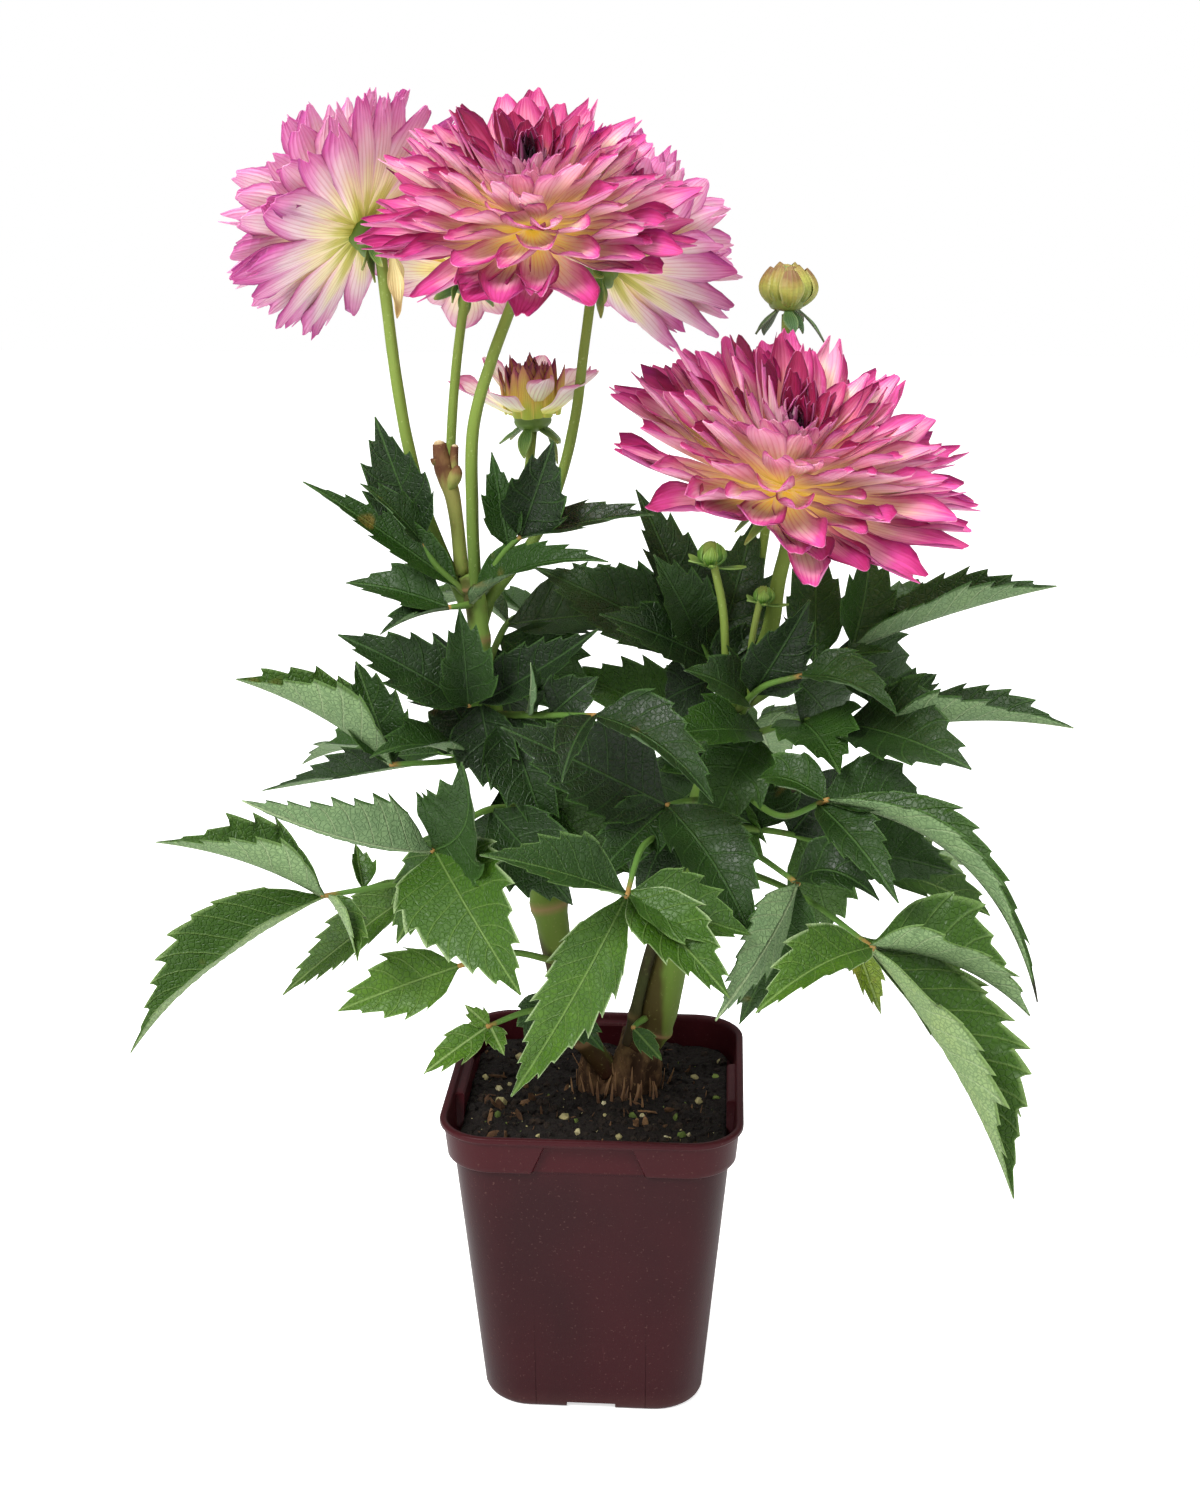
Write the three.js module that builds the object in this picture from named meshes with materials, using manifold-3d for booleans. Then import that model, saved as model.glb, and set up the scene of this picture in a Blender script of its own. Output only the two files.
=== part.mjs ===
// Potted dahlia: a square nursery pot of soil with stems, compound leaves, flower heads and buds.
// Millimetres, +Z up, origin at the centre of the plane that the pot stands on; the flowers face -Y.
import * as THREE from "three";
import { LoftGeometry } from "three/addons/geometries/LoftGeometry.js";
import { mergeVertices } from "three/addons/utils/BufferGeometryUtils.js";
import Module from "manifold-3d";

const wasm = await Module();
wasm.setup();

// Driving dimensions
const seatGap = 0.3; // clearance between pieces that touch
const sliver = 0.02; // detail smaller than this is merged away after a cut
const pot = {
  rimWidth: 120, // outside, across the flats
  footWidth: 90,
  height: 130,
  wall: 1.6,
  bandDepth: 16, // skirt band under the rim
  bandStep: 2.6, // how far the band stands out of the wall
  lipStep: 1.4, // how far the lip stands out of the band
  footHeight: 4, // raised floor
  floor: 2,
  notchWidth: 20,
  notchHeight: 3,
  drainRadius: 4,
  drainOffset: 26,
  panelWidth: 44, // recessed panel in the band, on each side
};
const soilTop = 119;
const leafThickness = 1.1;
const petalThickness = 1.2;
const petioleRadius = 1.5;

// Colour, roughness
const finishes = {
  pot: ["#4e2228", 0.42],
  soil: ["#2a211b", 0.95],
  bark: ["#7a5c3e", 0.9],
  stem: ["#8aa04c", 0.55],
  mottledStem: ["#6f7a45", 0.6],
  leaf: ["#35572c", 0.6],
  calyx: ["#7f9a3f", 0.6],
  petal: ["#d76fa8", 0.6],
  innerPetal: ["#a92a5c", 0.6],
  bud: ["#a5a24a", 0.5],
};

const vec = (p) => new THREE.Vector3(p[0], p[1], p[2]);
const up = new THREE.Vector3(0, 0, 1);

// A closed three.js geometry as a solid
function solidOf(geometry) {
  const bare = new THREE.BufferGeometry();
  bare.setAttribute("position", geometry.getAttribute("position"));
  bare.setIndex(geometry.index);
  const merged = mergeVertices(bare, 1e-4);
  return new wasm.Manifold(
    new wasm.Mesh({
      numProp: 3,
      vertProperties: merged.attributes.position.array,
      triVerts: new Uint32Array(merged.index.array),
    }),
  );
}

function geometryOf(solid) {
  const mesh = solid.getMesh();
  const geometry = new THREE.BufferGeometry();
  geometry.setAttribute("position", new THREE.BufferAttribute(new Float32Array(mesh.vertProperties), 3));
  geometry.setIndex(new THREE.BufferAttribute(new Uint32Array(mesh.triVerts), 1));
  geometry.computeVertexNormals();
  return geometry;
}

const unionOf = (solids) => solids.reduce((sum, solid) => sum.add(solid));
const loft = (sections) => solidOf(new LoftGeometry(sections, { capStart: true, capEnd: true }));

// A round stalk along a smooth curve: points are [x, y, z, radius]
function stalk(points, grow = 0, sides = 7, stepsPerSpan = 2) {
  const curve = new THREE.CatmullRomCurve3(points.map(vec));
  const steps = (points.length - 1) * stepsPerSpan;
  const frames = curve.computeFrenetFrames(steps, false);
  const sections = [];
  for (let i = 0; i <= steps; i++) {
    const t = i / steps;
    const span = Math.min(Math.floor(t * (points.length - 1)), points.length - 2);
    const local = t * (points.length - 1) - span;
    const radius = THREE.MathUtils.lerp(points[span][3], points[span + 1][3], local) + grow;
    const onward = grow * ((i === steps ? 1 : 0) - (i === 0 ? 1 : 0)); // both ends grow too
    const centre = curve.getPoint(t).addScaledVector(curve.getTangent(t), onward);
    const ring = [];
    for (let k = 0; k < sides; k++) {
      const angle = (k / sides) * 2 * Math.PI;
      ring.push(
        centre
          .clone()
          .addScaledVector(frames.normals[i], Math.cos(angle) * radius)
          .addScaledVector(frames.binormals[i], Math.sin(angle) * radius),
      );
    }
    sections.push(ring);
  }
  return loft(sections);
}

// Outline of a leaflet and of a petal: [place along the midrib, half width as a share of the widest]
const leafletOutline = [[0, 0.06], [0.14, 0.66], [0.38, 1], [0.66, 0.66], [1, 0.03]];
const petalOutline = [[0, 0.3], [0.4, 0.85], [0.75, 1], [1, 0.12]];

// A thin blade along a bent midrib. face is the side that its top turns to, arch lifts the middle of the
// midrib towards face, bow moves it sideways, and fold raises both edges by an angle in degrees.
function blade(shape, outline, thickness, grow = 0) {
  const { base, tip, width, face = [0, 0, 1], arch = 0, bow = 0, fold = 20 } = shape;
  const start = vec(base);
  const end = vec(tip);
  const chord = end.clone().sub(start).normalize();
  const hint = vec(face).normalize();
  const normal = hint.addScaledVector(chord, -hint.dot(chord)).normalize();
  const side = new THREE.Vector3().crossVectors(chord, normal);
  const middle = start.clone().lerp(end, 0.5);
  middle.addScaledVector(normal, 2 * arch).addScaledVector(side, 2 * bow);
  const midrib = new THREE.QuadraticBezierCurve3(start, middle, end);
  const rise = THREE.MathUtils.degToRad(fold);
  const sections = outline.map(([t, share]) => {
    const along = midrib.getTangent(t);
    const centre = midrib.getPoint(t).addScaledVector(along, grow * (Math.floor(t) - Math.floor(1 - t)));
    const top = normal.clone().addScaledVector(along, -normal.dot(along)).normalize();
    const across = new THREE.Vector3().crossVectors(along, top);
    const half = share * width / 2 + grow;
    const thick = thickness / 2 + grow;
    const lift = t > 0 && t < 1 ? half * Math.sin(rise) : 0; // flat at both ends
    const edge = (sign) =>
      centre.clone().addScaledVector(across, sign * half * Math.cos(rise)).addScaledVector(top, lift);
    return [
      edge(1),
      centre.clone().addScaledVector(top, -thick),
      edge(-1),
      centre.clone().addScaledVector(top, thick),
    ];
  });
  return loft(sections);
}

// Pot

// Rounded square outline at one height
function squareRing(halfWidth, cornerRadius, z, pointsPerCorner = 4) {
  const ring = [];
  const flat = halfWidth - cornerRadius;
  for (let corner = 0; corner < 4; corner++) {
    const start = (corner * Math.PI) / 2;
    const cx = flat * Math.SQRT2 * Math.cos(start + Math.PI / 4);
    const cy = flat * Math.SQRT2 * Math.sin(start + Math.PI / 4);
    for (let k = 0; k < pointsPerCorner; k++) {
      const angle = start + ((k / (pointsPerCorner - 1)) * Math.PI) / 2;
      const x = cx + cornerRadius * Math.cos(angle);
      ring.push(new THREE.Vector3(x, cy + cornerRadius * Math.sin(angle), z));
    }
  }
  return ring;
}

const rimHalf = pot.rimWidth / 2;
const footHalf = pot.footWidth / 2;
const bandBottom = pot.height - pot.bandDepth;
const wallTopHalf = rimHalf - pot.lipStep - pot.bandStep;
const quarters = [0, 0.5, 1, 1.5].map((turn) => turn * Math.PI);

// Half width of the tapered wall, outside, without the band
function wallHalf(z) {
  return THREE.MathUtils.lerp(footHalf, wallTopHalf, z / pot.height);
}

function wallCorner(z) {
  return THREE.MathUtils.lerp(20, 17, z / pot.height);
}

function potSolid() {
  const footInset = 7;
  const outside = loft([
    squareRing(footHalf - 1.5, wallCorner(0) - 1.5, 0),
    squareRing(footHalf, wallCorner(0), 1.5),
    squareRing(wallHalf(bandBottom), wallCorner(bandBottom), bandBottom - 1),
    squareRing(wallHalf(bandBottom) + pot.bandStep, wallCorner(bandBottom) + 2, bandBottom + 1),
    squareRing(rimHalf - pot.lipStep, wallCorner(pot.height) + 3, pot.height - 3),
    squareRing(rimHalf, wallCorner(pot.height) + 4, pot.height - 2.2),
    squareRing(rimHalf, wallCorner(pot.height) + 4, pot.height - 0.6),
    squareRing(rimHalf - 0.6, wallCorner(pot.height) + 3.4, pot.height),
  ]);
  const inside = loft([
    squareRing(wallHalf(pot.footHeight) - pot.wall, wallCorner(0) - pot.wall, pot.footHeight + pot.floor),
    squareRing(wallHalf(bandBottom) - pot.wall, wallCorner(bandBottom) - pot.wall, bandBottom - 1),
    squareRing(wallHalf(bandBottom) + pot.bandStep - pot.wall, wallCorner(bandBottom), bandBottom + 1.5),
    squareRing(rimHalf - pot.lipStep - pot.wall, wallCorner(pot.height) + 1, pot.height + 1),
  ]);
  const underFloor = loft([
    squareRing(footHalf - footInset, wallCorner(0) - footInset, -1),
    squareRing(footHalf - footInset, wallCorner(0) - footInset, pot.footHeight),
  ]);
  const cavity = quarters.reduce((hollow, angle) => hollow.subtract(bandPanel(angle, pot.wall)), inside);
  let body = outside.subtract(cavity).subtract(underFloor);
  const drain = new THREE.CylinderGeometry(pot.drainRadius, pot.drainRadius, 20, 12);
  drain.rotateX(Math.PI / 2);
  const notch = new THREE.BoxGeometry(pot.notchWidth, 30, 2 * pot.notchHeight);
  for (const angle of quarters) {
    const hole = drain.clone().translate(pot.drainOffset, 0, pot.footHeight).rotateZ(angle + Math.PI / 4);
    const gap = notch.clone().translate(0, footHalf, 0).rotateZ(angle);
    body = body.subtract(solidOf(hole)).subtract(solidOf(gap)).subtract(bandPanel(angle, 0));
  }
  return body;
}

// The recess in the middle of the band on one side: everything outside a plane that lies inset behind the
// recess's face, as wide as the panel
function bandPanel(angle, inset) {
  const outline = new THREE.Shape();
  const bottom = pot.panelWidth / 2;
  const top = bottom - 5;
  const height = pot.bandDepth - 4;
  outline.moveTo(-bottom - inset, 0);
  outline.lineTo(bottom + inset, 0);
  outline.lineTo(top + inset, height + inset);
  outline.lineTo(-top - inset, height + inset);
  outline.closePath();
  const panel = new THREE.ExtrudeGeometry(outline, { depth: 20, bevelEnabled: false });
  panel.rotateX(Math.PI / 2);
  panel.translate(0, -(wallHalf(bandBottom) + 0.2 - inset), bandBottom - 1).rotateZ(angle);
  return solidOf(panel);
}

// The soil fills the pot from its floor to the soil line and stays clear of the wall and its panels
function soilSolid() {
  const clear = pot.wall + seatGap;
  const lowest = pot.footHeight + pot.floor + seatGap;
  const block = loft([
    squareRing(wallHalf(pot.footHeight) - clear - 0.3, wallCorner(0) - clear, lowest),
    squareRing(wallHalf(bandBottom) - clear - 0.2, wallCorner(bandBottom) - clear, bandBottom - 1.6),
    squareRing(wallHalf(bandBottom) + pot.bandStep - clear - 0.3, wallCorner(bandBottom), bandBottom + 2.2),
    squareRing(wallHalf(bandBottom) + pot.bandStep - clear, wallCorner(bandBottom), soilTop - 1),
    squareRing(wallHalf(bandBottom) - 3, wallCorner(bandBottom), soilTop),
  ]);
  return quarters.reduce((soil, angle) => soil.subtract(bandPanel(angle, clear)), block);
}

// Stems: [x, y, z, radius] from the ground up
const stems = {
  root_crown: [[12, 5, 112, 13], [12, 4, 122, 12], [14, 4, 132, 9], [17, 4, 140, 8]],
  main_stem: [
    [17.5, 4, 140.5, 7.6], [23, 4, 152, 8.2], [28, 4, 176, 8.2], [37, 4, 222, 7.4], [45, 4, 258, 6],
    [55, 2, 292, 4.4],
  ],
  left_stem: [
    [5, 0, 130, 4.4], [-6, -2, 148, 5], [-14, 0, 172, 5.6], [-19, 0, 200, 6.6], [-24, 1, 226, 5.6],
    [-32, 2, 254, 4.6], [-40, 1, 280, 4], [-45, 0, 306, 3.8], [-47, 0, 328, 4.2], [-49, 0, 338, 4.4],
  ],
  old_stump: [[0, 4, 112, 7], [-1, 4, 126, 6], [-2, 8, 141, 4.6]],
  cut_stem: [[-52.5, 3, 338, 3], [-54, 3, 358, 3.2], [-57, 4, 376, 4.4], [-58, 4, 389, 4.4]],
};

// Flower and bud stalks, the same way; a flower's stalk goes on to a point inside its calyx
const stalks = {
  front_stalk: [
    [-46.5, -2.5, 330, 2.4], [-47, -5, 366, 2.4], [-46, -4, 396, 2.3], [-40, 0, 418, 2.2],
    [-31, 6, 442, 2.1],
  ],
  left_stalk: [
    [-51, 1, 326, 2.6], [-66, 5, 361, 2.4], [-73, 10, 386, 2.3], [-78, 16, 412, 2.2], [-82, 21, 443, 2.2],
  ],
  hidden_stalk: [[-50, 4, 326, 2], [-57, 12, 372, 1.9], [-56, 16, 404, 1.8], [-53, 21, 432, 1.8]],
  back_stalk: [
    [-45, 3, 324, 2.2], [-22, 12, 356, 2.1], [-15, 16, 374, 2], [-10, 22, 396, 2], [-7, 28, 421, 1.9],
  ],
  half_open_stalk: [[-45, 3, 316, 1.8], [-39, 14, 338, 1.8], [-34, 24, 354, 1.8], [-30, 36, 370, 1.8]],
  right_stalk: [[55.5, 1.6, 290, 3.4], [66, 0, 318, 3.2], [69, 0, 338, 2.8], [72, 2, 354, 2.6]],
  bud_stalk: [
    [56, 5, 288, 2], [62, 22, 338, 1.9], [67, 31, 374, 1.8], [70, 33, 404, 1.8], [70, 34, 434, 1.7],
  ],
};
const smallBuds = {
  small_bud_left: {
    path: [[53, -1, 288, 1.6], [50, -6, 303, 1.6], [48, -6, 328, 1.6], [44, -5, 346, 1.5]],
    centre: [43, -5, 349], radius: 5.5,
  },
  small_bud_right: {
    path: [[56.5, -1.5, 286, 1.4], [59, -6, 296, 1.4], [59, -8, 314, 1.3], [62, -9, 333, 1.3]],
    centre: [63, -8, 334], radius: 4,
  },
};

// Flower heads. centre is where the petals meet, axis points out of the flower's face. low and high are the
// angles from the axis at which the lowest and highest row lean, notch is how deep the lobes are cut.
const flowers = {
  front: {
    centre: [-24, -10, 471], axis: [0.03, -0.39, 0.92], calyx: 9,
    outer: { low: 96, high: 56, length: 54, lobes: 12, notch: 0.22 },
    inner: { low: 40, high: 12, length: 34, lobes: 7, notch: 0.2 },
  },
  right: {
    centre: [75, -14, 374], axis: [0.07, -0.24, 0.97], calyx: 9,
    outer: { low: 98, high: 60, length: 58, lobes: 12, notch: 0.22 },
    inner: { low: 42, high: 12, length: 36, lobes: 7, notch: 0.2 },
  },
  left: {
    centre: [-91, 25, 467], axis: [-0.72, 0.42, 0.56], calyx: 8.5,
    outer: { low: 94, high: 54, length: 46, lobes: 12, notch: 0.22 },
    inner: { low: 36, high: 12, length: 34, lobes: 7, notch: 0.2 },
  },
  back: {
    centre: [0, 44, 452], axis: [0.45, 0.6, 0.62], calyx: 8.5,
    outer: { low: 96, high: 54, length: 46, lobes: 12, notch: 0.22 },
    inner: { low: 36, high: 12, length: 34, lobes: 7, notch: 0.2 },
  },
  half_open: {
    centre: [-29, 46, 396], axis: [-0.02, -0.1, 1], calyx: 8,
    outer: { low: 78, high: 60, length: 20, lobes: 7, notch: 0.3 },
    inner: { low: 30, high: 8, length: 16, lobes: 6, notch: 0.15 },
  },
  hidden: {
    centre: [-52, 31, 450], axis: [-0.1, 0.75, 0.6], calyx: 7,
    outer: { low: 72, high: 48, length: 30, lobes: 9, notch: 0.22 },
    inner: { low: 30, high: 10, length: 26, lobes: 6, notch: 0.2 },
  },
};
const bud = { centre: [70, 34, 445], radius: 10.5, height: 18 };
const bracts = { centre: [70, 34, 445], count: 5, angle: 130, length: 19, width: 7 };

// Leaves. petiole runs from the stem to the leaf's node; each leaflet starts at a share of the petiole (at)
// and ends at its tip. Lengths are in millimetres, fold in degrees.
const leaves = {
  leaf_left_low: {
    petiole: [[-25, -4, 226], [-68, -28, 224], [-104, -38, 220]],
    leaflets: [
      { tip: [-162, -55, 247], width: 34, face: [0.1, -0.05, 1], arch: 4, fold: 36 },
      { tip: [-181, -45, 155], width: 38, face: [-0.45, -0.6, 0.65], arch: 6, bow: 4, fold: 41 },
      { tip: [-86, -62, 204], width: 17, face: [0.7, -0.5, 0.4], arch: 2, fold: 40 },
      { tip: [-93, -22, 236], width: 13, at: 0.78, face: [0.5, -0.7, 0.3], fold: 30 },
      { tip: [-130, 0, 161], width: 25, at: 0.42, face: [-0.4, -0.8, 0.5], arch: 3, fold: 24 },
    ],
  },
  leaf_left_mid: {
    petiole: [[-31, -2.5, 246], [-44, -30, 252], [-59, -52, 244]],
    leaflets: [
      { tip: [-121, -84, 274], width: 34, face: [-0.1, 0.75, 0.5], arch: -4, fold: 24 },
      { tip: [-44, -72, 286], width: 44, face: [-0.6, -0.9, 0.25], arch: -2, bow: 9, fold: 16 },
      { tip: [-21, -98, 208], width: 46, face: [-0.25, -0.8, 0.75], arch: 7, fold: 14 },
      { tip: [-75, -40, 202], width: 26, at: 0.7, face: [-0.2, -0.9, 0.3], arch: 2, fold: 12 },
      { tip: [-38, 4, 212], width: 34, at: 0.3, face: [-0.1, -0.9, 0.3], arch: 3, fold: 14 },
      { tip: [-8, -26, 214], width: 34, at: 0.35, face: [0.2, -0.9, 0.35], arch: 4, fold: 16 },
    ],
  },
  leaf_left_high: {
    petiole: [[-37, 0, 268], [-58, -8, 266], [-80, -14, 266]],
    leaflets: [
      { tip: [-137, -20, 301], width: 44, face: [0.3, -0.1, 1], arch: 4, fold: 42 },
      { tip: [-94, -2, 304], width: 27, face: [0.2, -0.9, 0.25], arch: 2, fold: 22 },
      { tip: [-136, 8, 247], width: 20, at: 0.8, face: [0, -0.3, 1], fold: 24 },
      { tip: [-84, -34, 275], width: 22, at: 0.35, face: [0, -0.3, 1], arch: 6, fold: 20 },
      { tip: [-64, 14, 289], width: 34, at: 0.15, face: [-0.1, -0.8, 0.6], arch: 3, fold: 14 },
    ],
  },
  leaf_left_back: {
    petiole: [[-28, 7, 244], [-56, 34, 254], [-80, 50, 252]],
    leaflets: [
      { tip: [-132, 66, 240], width: 36, face: [-0.2, 0, 1], arch: 5, fold: 18 },
      { tip: [-96, 104, 236], width: 36, face: [-0.2, 0.4, 1], arch: 5, fold: 20 },
      { tip: [-112, 26, 250], width: 30, at: 0.75, face: [0, -0.4, 1], arch: 2, fold: 16 },
      { tip: [-62, 88, 232], width: 30, at: 0.6, face: [0.2, 0.4, 1], arch: 4, fold: 18 },
      { tip: [14, 34, 262], width: 38, at: 0.35, face: [0.2, -0.7, 0.7], arch: 3, fold: 14 },
      { tip: [-22, 24, 194], width: 44, at: 0.2, face: [0.1, -0.9, 0.3], arch: 3, fold: 16 },
      { tip: [12, 24, 209], width: 40, at: 0.12, face: [0.2, -0.9, 0.4], arch: 3, fold: 14 },
    ],
  },
  leaf_front: {
    petiole: [[40, -2, 240], [27, -35, 247], [20, -66, 252], [16, -90, 243]],
    leaflets: [
      { tip: [-32, -118, 268], width: 30, face: [-0.1, -0.5, 1], arch: 2, fold: 20 },
      { tip: [-25, -98, 168], width: 28, face: [-0.2, -0.93, 0.3], arch: 7, bow: -3, fold: 18 },
      { tip: [53, -112, 215], width: 28, face: [0.1, -0.75, 0.65], arch: 4, fold: 18 },
      { tip: [60, -88, 229], width: 34, at: 0.97, face: [0.1, -0.5, 0.9], arch: 3, bow: 3, fold: 14 },
    ],
  },
  leaf_front_inner: {
    petiole: [[42, -2, 250], [34, -22, 256], [28, -33, 258]],
    leaflets: [
      { tip: [-33, -44, 291], width: 40, face: [0.2, -0.9, 0.6], arch: 2, fold: 10 },
      { tip: [61, -66, 218], width: 36, face: [0.3, -0.7, 0.7], arch: 7, fold: 16 },
      { tip: [2, -62, 238], width: 26, at: 0.9, face: [0, -0.8, 0.6], arch: 3, fold: 16 },
      { tip: [18, -34, 220], width: 30, at: 0.5, face: [-0.1, -0.8, 0.5], arch: 4, fold: 18 },
    ],
  },
  leaf_small_left: {
    petiole: [[-17, -6, 182], [-34, -18, 190], [-53, -28, 188]],
    leaflets: [{ tip: [-99, -40, 173], width: 27, face: [-0.05, -0.8, 0.6], arch: 2, fold: 8 }],
  },
  leaf_seedling: {
    petiole: [[-9, -7, 157], [-24, -24, 168], [-41, -38, 167]],
    leaflets: [
      { tip: [-64, -52, 153], width: 15, face: [-0.2, -0.8, 0.6], arch: 1, fold: 10 },
      { tip: [-49, -40, 177], width: 8, face: [0, -0.9, 0.4], fold: 10 },
      { tip: [-33, -48, 160], width: 9, face: [0.2, -0.9, 0.4], fold: 10 },
    ],
  },
  leaf_stem_base: {
    petiole: [[20, -2, 156], [17, -7, 156], [15, -12, 156]],
    leaflets: [{ tip: [27, -16, 144], width: 9, face: [0.2, -0.9, 0.4], arch: 1, fold: 10 }],
  },
  leaf_round_low: {
    petiole: [[-12, -6, 166], [-14, -11, 170], [-17, -15, 172]],
    leaflets: [
      { tip: [-27, -24, 153], width: 20, face: [-0.2, -0.9, 0.3], arch: 1, fold: 8 },
      { tip: [4, -22, 150], width: 14, face: [0.2, -0.9, 0.3], arch: 2, fold: 8 },
    ],
  },
  leaf_right_low: {
    petiole: [[41, 0, 226], [78, -34, 224], [105, -72, 218]],
    leaflets: [
      { tip: [62, -106, 207], width: 27, face: [-0.25, -0.55, 0.8], arch: 6, fold: 20 },
      { tip: [161, -80, 197], width: 46, face: [0.1, 0, 1], arch: 7, fold: 36 },
      { tip: [157, -96, 132], width: 54, face: [0.8, -0.43, 0.45], arch: 5, bow: -2, fold: 42 },
      { tip: [167, -40, 136], width: 34, at: 0.9, face: [0.6, -0.6, 0.6], arch: 6, fold: 16 },
      { tip: [110, -56, 185], width: 12, at: 0.86, face: [0.2, -0.9, 0.3], fold: 16 },
    ],
  },
  leaf_right_low_back: {
    petiole: [[46, 9, 236], [80, 14, 230], [109, 8, 220]],
    leaflets: [
      { tip: [157, 6, 201], width: 32, face: [0.2, -0.5, 0.9], arch: 4, fold: 18 },
      { tip: [150, 42, 206], width: 32, face: [0.2, 0.1, 1], arch: 5, fold: 18 },
      { tip: [140, -14, 226], width: 40, at: 0.8, face: [0.2, -0.7, 0.7], arch: 4, fold: 12 },
      { tip: [147, 34, 234], width: 26, at: 0.7, face: [0.1, -0.4, 1], arch: 3, fold: 16 },
      { tip: [68, 26, 256], width: 38, at: 0.25, face: [-0.2, -0.7, 0.7], arch: 3, fold: 14 },
      { tip: [99, 30, 253], width: 38, at: 0.45, face: [0.1, -0.7, 0.7], arch: 3, fold: 14 },
      { tip: [94, 18, 188], width: 34, at: 0.5, face: [0.1, -0.7, 0.7], arch: 3, fold: 14 },
    ],
  },
  leaf_right_inner: {
    petiole: [[41.5, -2, 238], [60, -26, 238], [78, -50, 234]],
    leaflets: [
      { tip: [48, -113, 207], width: 22, face: [-0.8, -0.3, -0.5], arch: -3, fold: 14 },
      { tip: [57, -66, 184], width: 30, face: [0.3, -0.9, 0.3], arch: 3, fold: 12 },
      { tip: [107, -62, 233], width: 24, face: [0.1, -0.6, 0.8], arch: 12, fold: 20 },
    ],
  },
  leaf_right_mid: {
    petiole: [[48, 0, 262], [70, -24, 252], [88, -46, 266]],
    leaflets: [
      { tip: [162, -88, 206], width: 24, face: [0.6, -0.3, 0.9], arch: 20, fold: 44 },
      { tip: [62, -30, 268], width: 24, face: [-0.1, -0.4, 1], arch: 5, fold: 20 },
      { tip: [128, -30, 258], width: 34, face: [0.1, -0.6, 0.9], arch: 4, fold: 20 },
      { tip: [112, -82, 240], width: 22, at: 0.9, face: [0.2, -0.7, 0.7], arch: 4, fold: 16 },
    ],
  },
  leaf_right_high: {
    petiole: [[56, 2.5, 286], [80, 0, 303], [99, 0, 313]],
    leaflets: [
      { tip: [172, -8, 339], width: 34, face: [0, -0.1, 1], arch: 2, fold: 38 },
      { tip: [104, 17, 346], width: 26, face: [0.3, -0.9, 0.2], arch: 3, fold: 18 },
      { tip: [84, 24, 348], width: 26, at: 0.6, face: [-0.1, -0.9, 0.2], arch: 3, fold: 18 },
      { tip: [112, -12, 314], width: 9, at: 0.8, face: [0, -0.5, 1], fold: 16 },
      { tip: [150, 58, 322], width: 34, face: [0.1, 0.3, 1], arch: 5, fold: 20 },
      { tip: [95, 22, 270], width: 38, at: 0.4, face: [0.1, -0.8, 0.5], arch: 4, fold: 14 },
      { tip: [128, 20, 286], width: 34, at: 0.7, face: [0.1, -0.8, 0.6], arch: 4, fold: 14 },
    ],
  },
  leaf_right_upper: {
    petiole: [[52, 6, 272], [82, -4, 284], [108, -16, 284]],
    leaflets: [
      { tip: [179, -25, 289], width: 32, face: [0, -0.05, 1], arch: 4, fold: 38 },
      { tip: [131, 8, 300], width: 28, face: [-0.1, -0.5, 1], arch: 1, fold: 24 },
      { tip: [139, -50, 280], width: 44, at: 0.75, face: [0, -0.6, 0.9], arch: 4, fold: 14 },
      { tip: [92, -46, 276], width: 34, at: 0.45, face: [0, -0.6, 0.9], arch: 4, fold: 14 },
      { tip: [24, -30, 284], width: 28, at: 0.2, face: [-0.1, -0.7, 0.7], arch: 3, fold: 14 },
      { tip: [45, -16, 243], width: 34, at: 0.15, face: [-0.1, -0.9, 0.35], arch: 4, fold: 16 },
    ],
  },
  leaf_right_top: {
    petiole: [[54.5, -1.5, 287], [64, -14, 300], [78, -20, 306]],
    leaflets: [
      { tip: [80, -20, 335], width: 28, at: 0.3, face: [0.3, -0.9, 0.3], arch: 2, fold: 16 },
      { tip: [112, -42, 298], width: 26, face: [0, -0.45, 1], arch: 6, fold: 24 },
      { tip: [112, -8, 296], width: 18, face: [0.2, -0.4, 1], arch: 5, fold: 20 },
      { tip: [34, -26, 309], width: 24, at: 0.2, face: [0, -0.7, 0.7], arch: 3, fold: 16 },
    ],
  },
  leaf_center_top: {
    petiole: [[52, 7, 290], [44, 10, 302], [38, 8, 314]],
    leaflets: [
      { tip: [22, -14, 350], width: 27, face: [0.4, -0.9, 0.3], arch: 2, fold: 16 },
      { tip: [14, 12, 370], width: 30, face: [0.3, -0.8, 0.4], arch: 3, fold: 18 },
      { tip: [2, -18, 328], width: 34, at: 0.6, face: [-0.1, -0.8, 0.6], arch: 3, fold: 16 },
      { tip: [20, 58, 344], width: 32, face: [-0.1, 0.6, 0.8], arch: 4, fold: 18 },
      { tip: [-27, 27, 336], width: 36, at: 0.7, face: [-0.1, -0.7, 0.7], arch: 3, fold: 14 },
      { tip: [60, 30, 356], width: 32, at: 0.45, face: [0.1, -0.8, 0.5], arch: 2, fold: 14 },
      { tip: [26, 20, 284], width: 34, at: 0.3, face: [-0.1, -0.8, 0.5], arch: 3, fold: 14 },
      { tip: [68, 16, 317], width: 30, at: 0.2, face: [0.1, -0.8, 0.5], arch: 3, fold: 14 },
    ],
  },
  leaf_center: {
    petiole: [[-41, -4, 284], [-16, -24, 290], [2, -44, 296]],
    leaflets: [
      { tip: [46, -70, 272], width: 32, face: [0.2, -0.5, 1], arch: 8, fold: 24 },
      { tip: [-8, -74, 280], width: 18, face: [-0.2, -0.5, 1], arch: 4, fold: 24 },
      { tip: [2, -26, 306], width: 22, at: 0.5, face: [0.1, -0.8, 0.5], arch: 2, fold: 18 },
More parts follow.
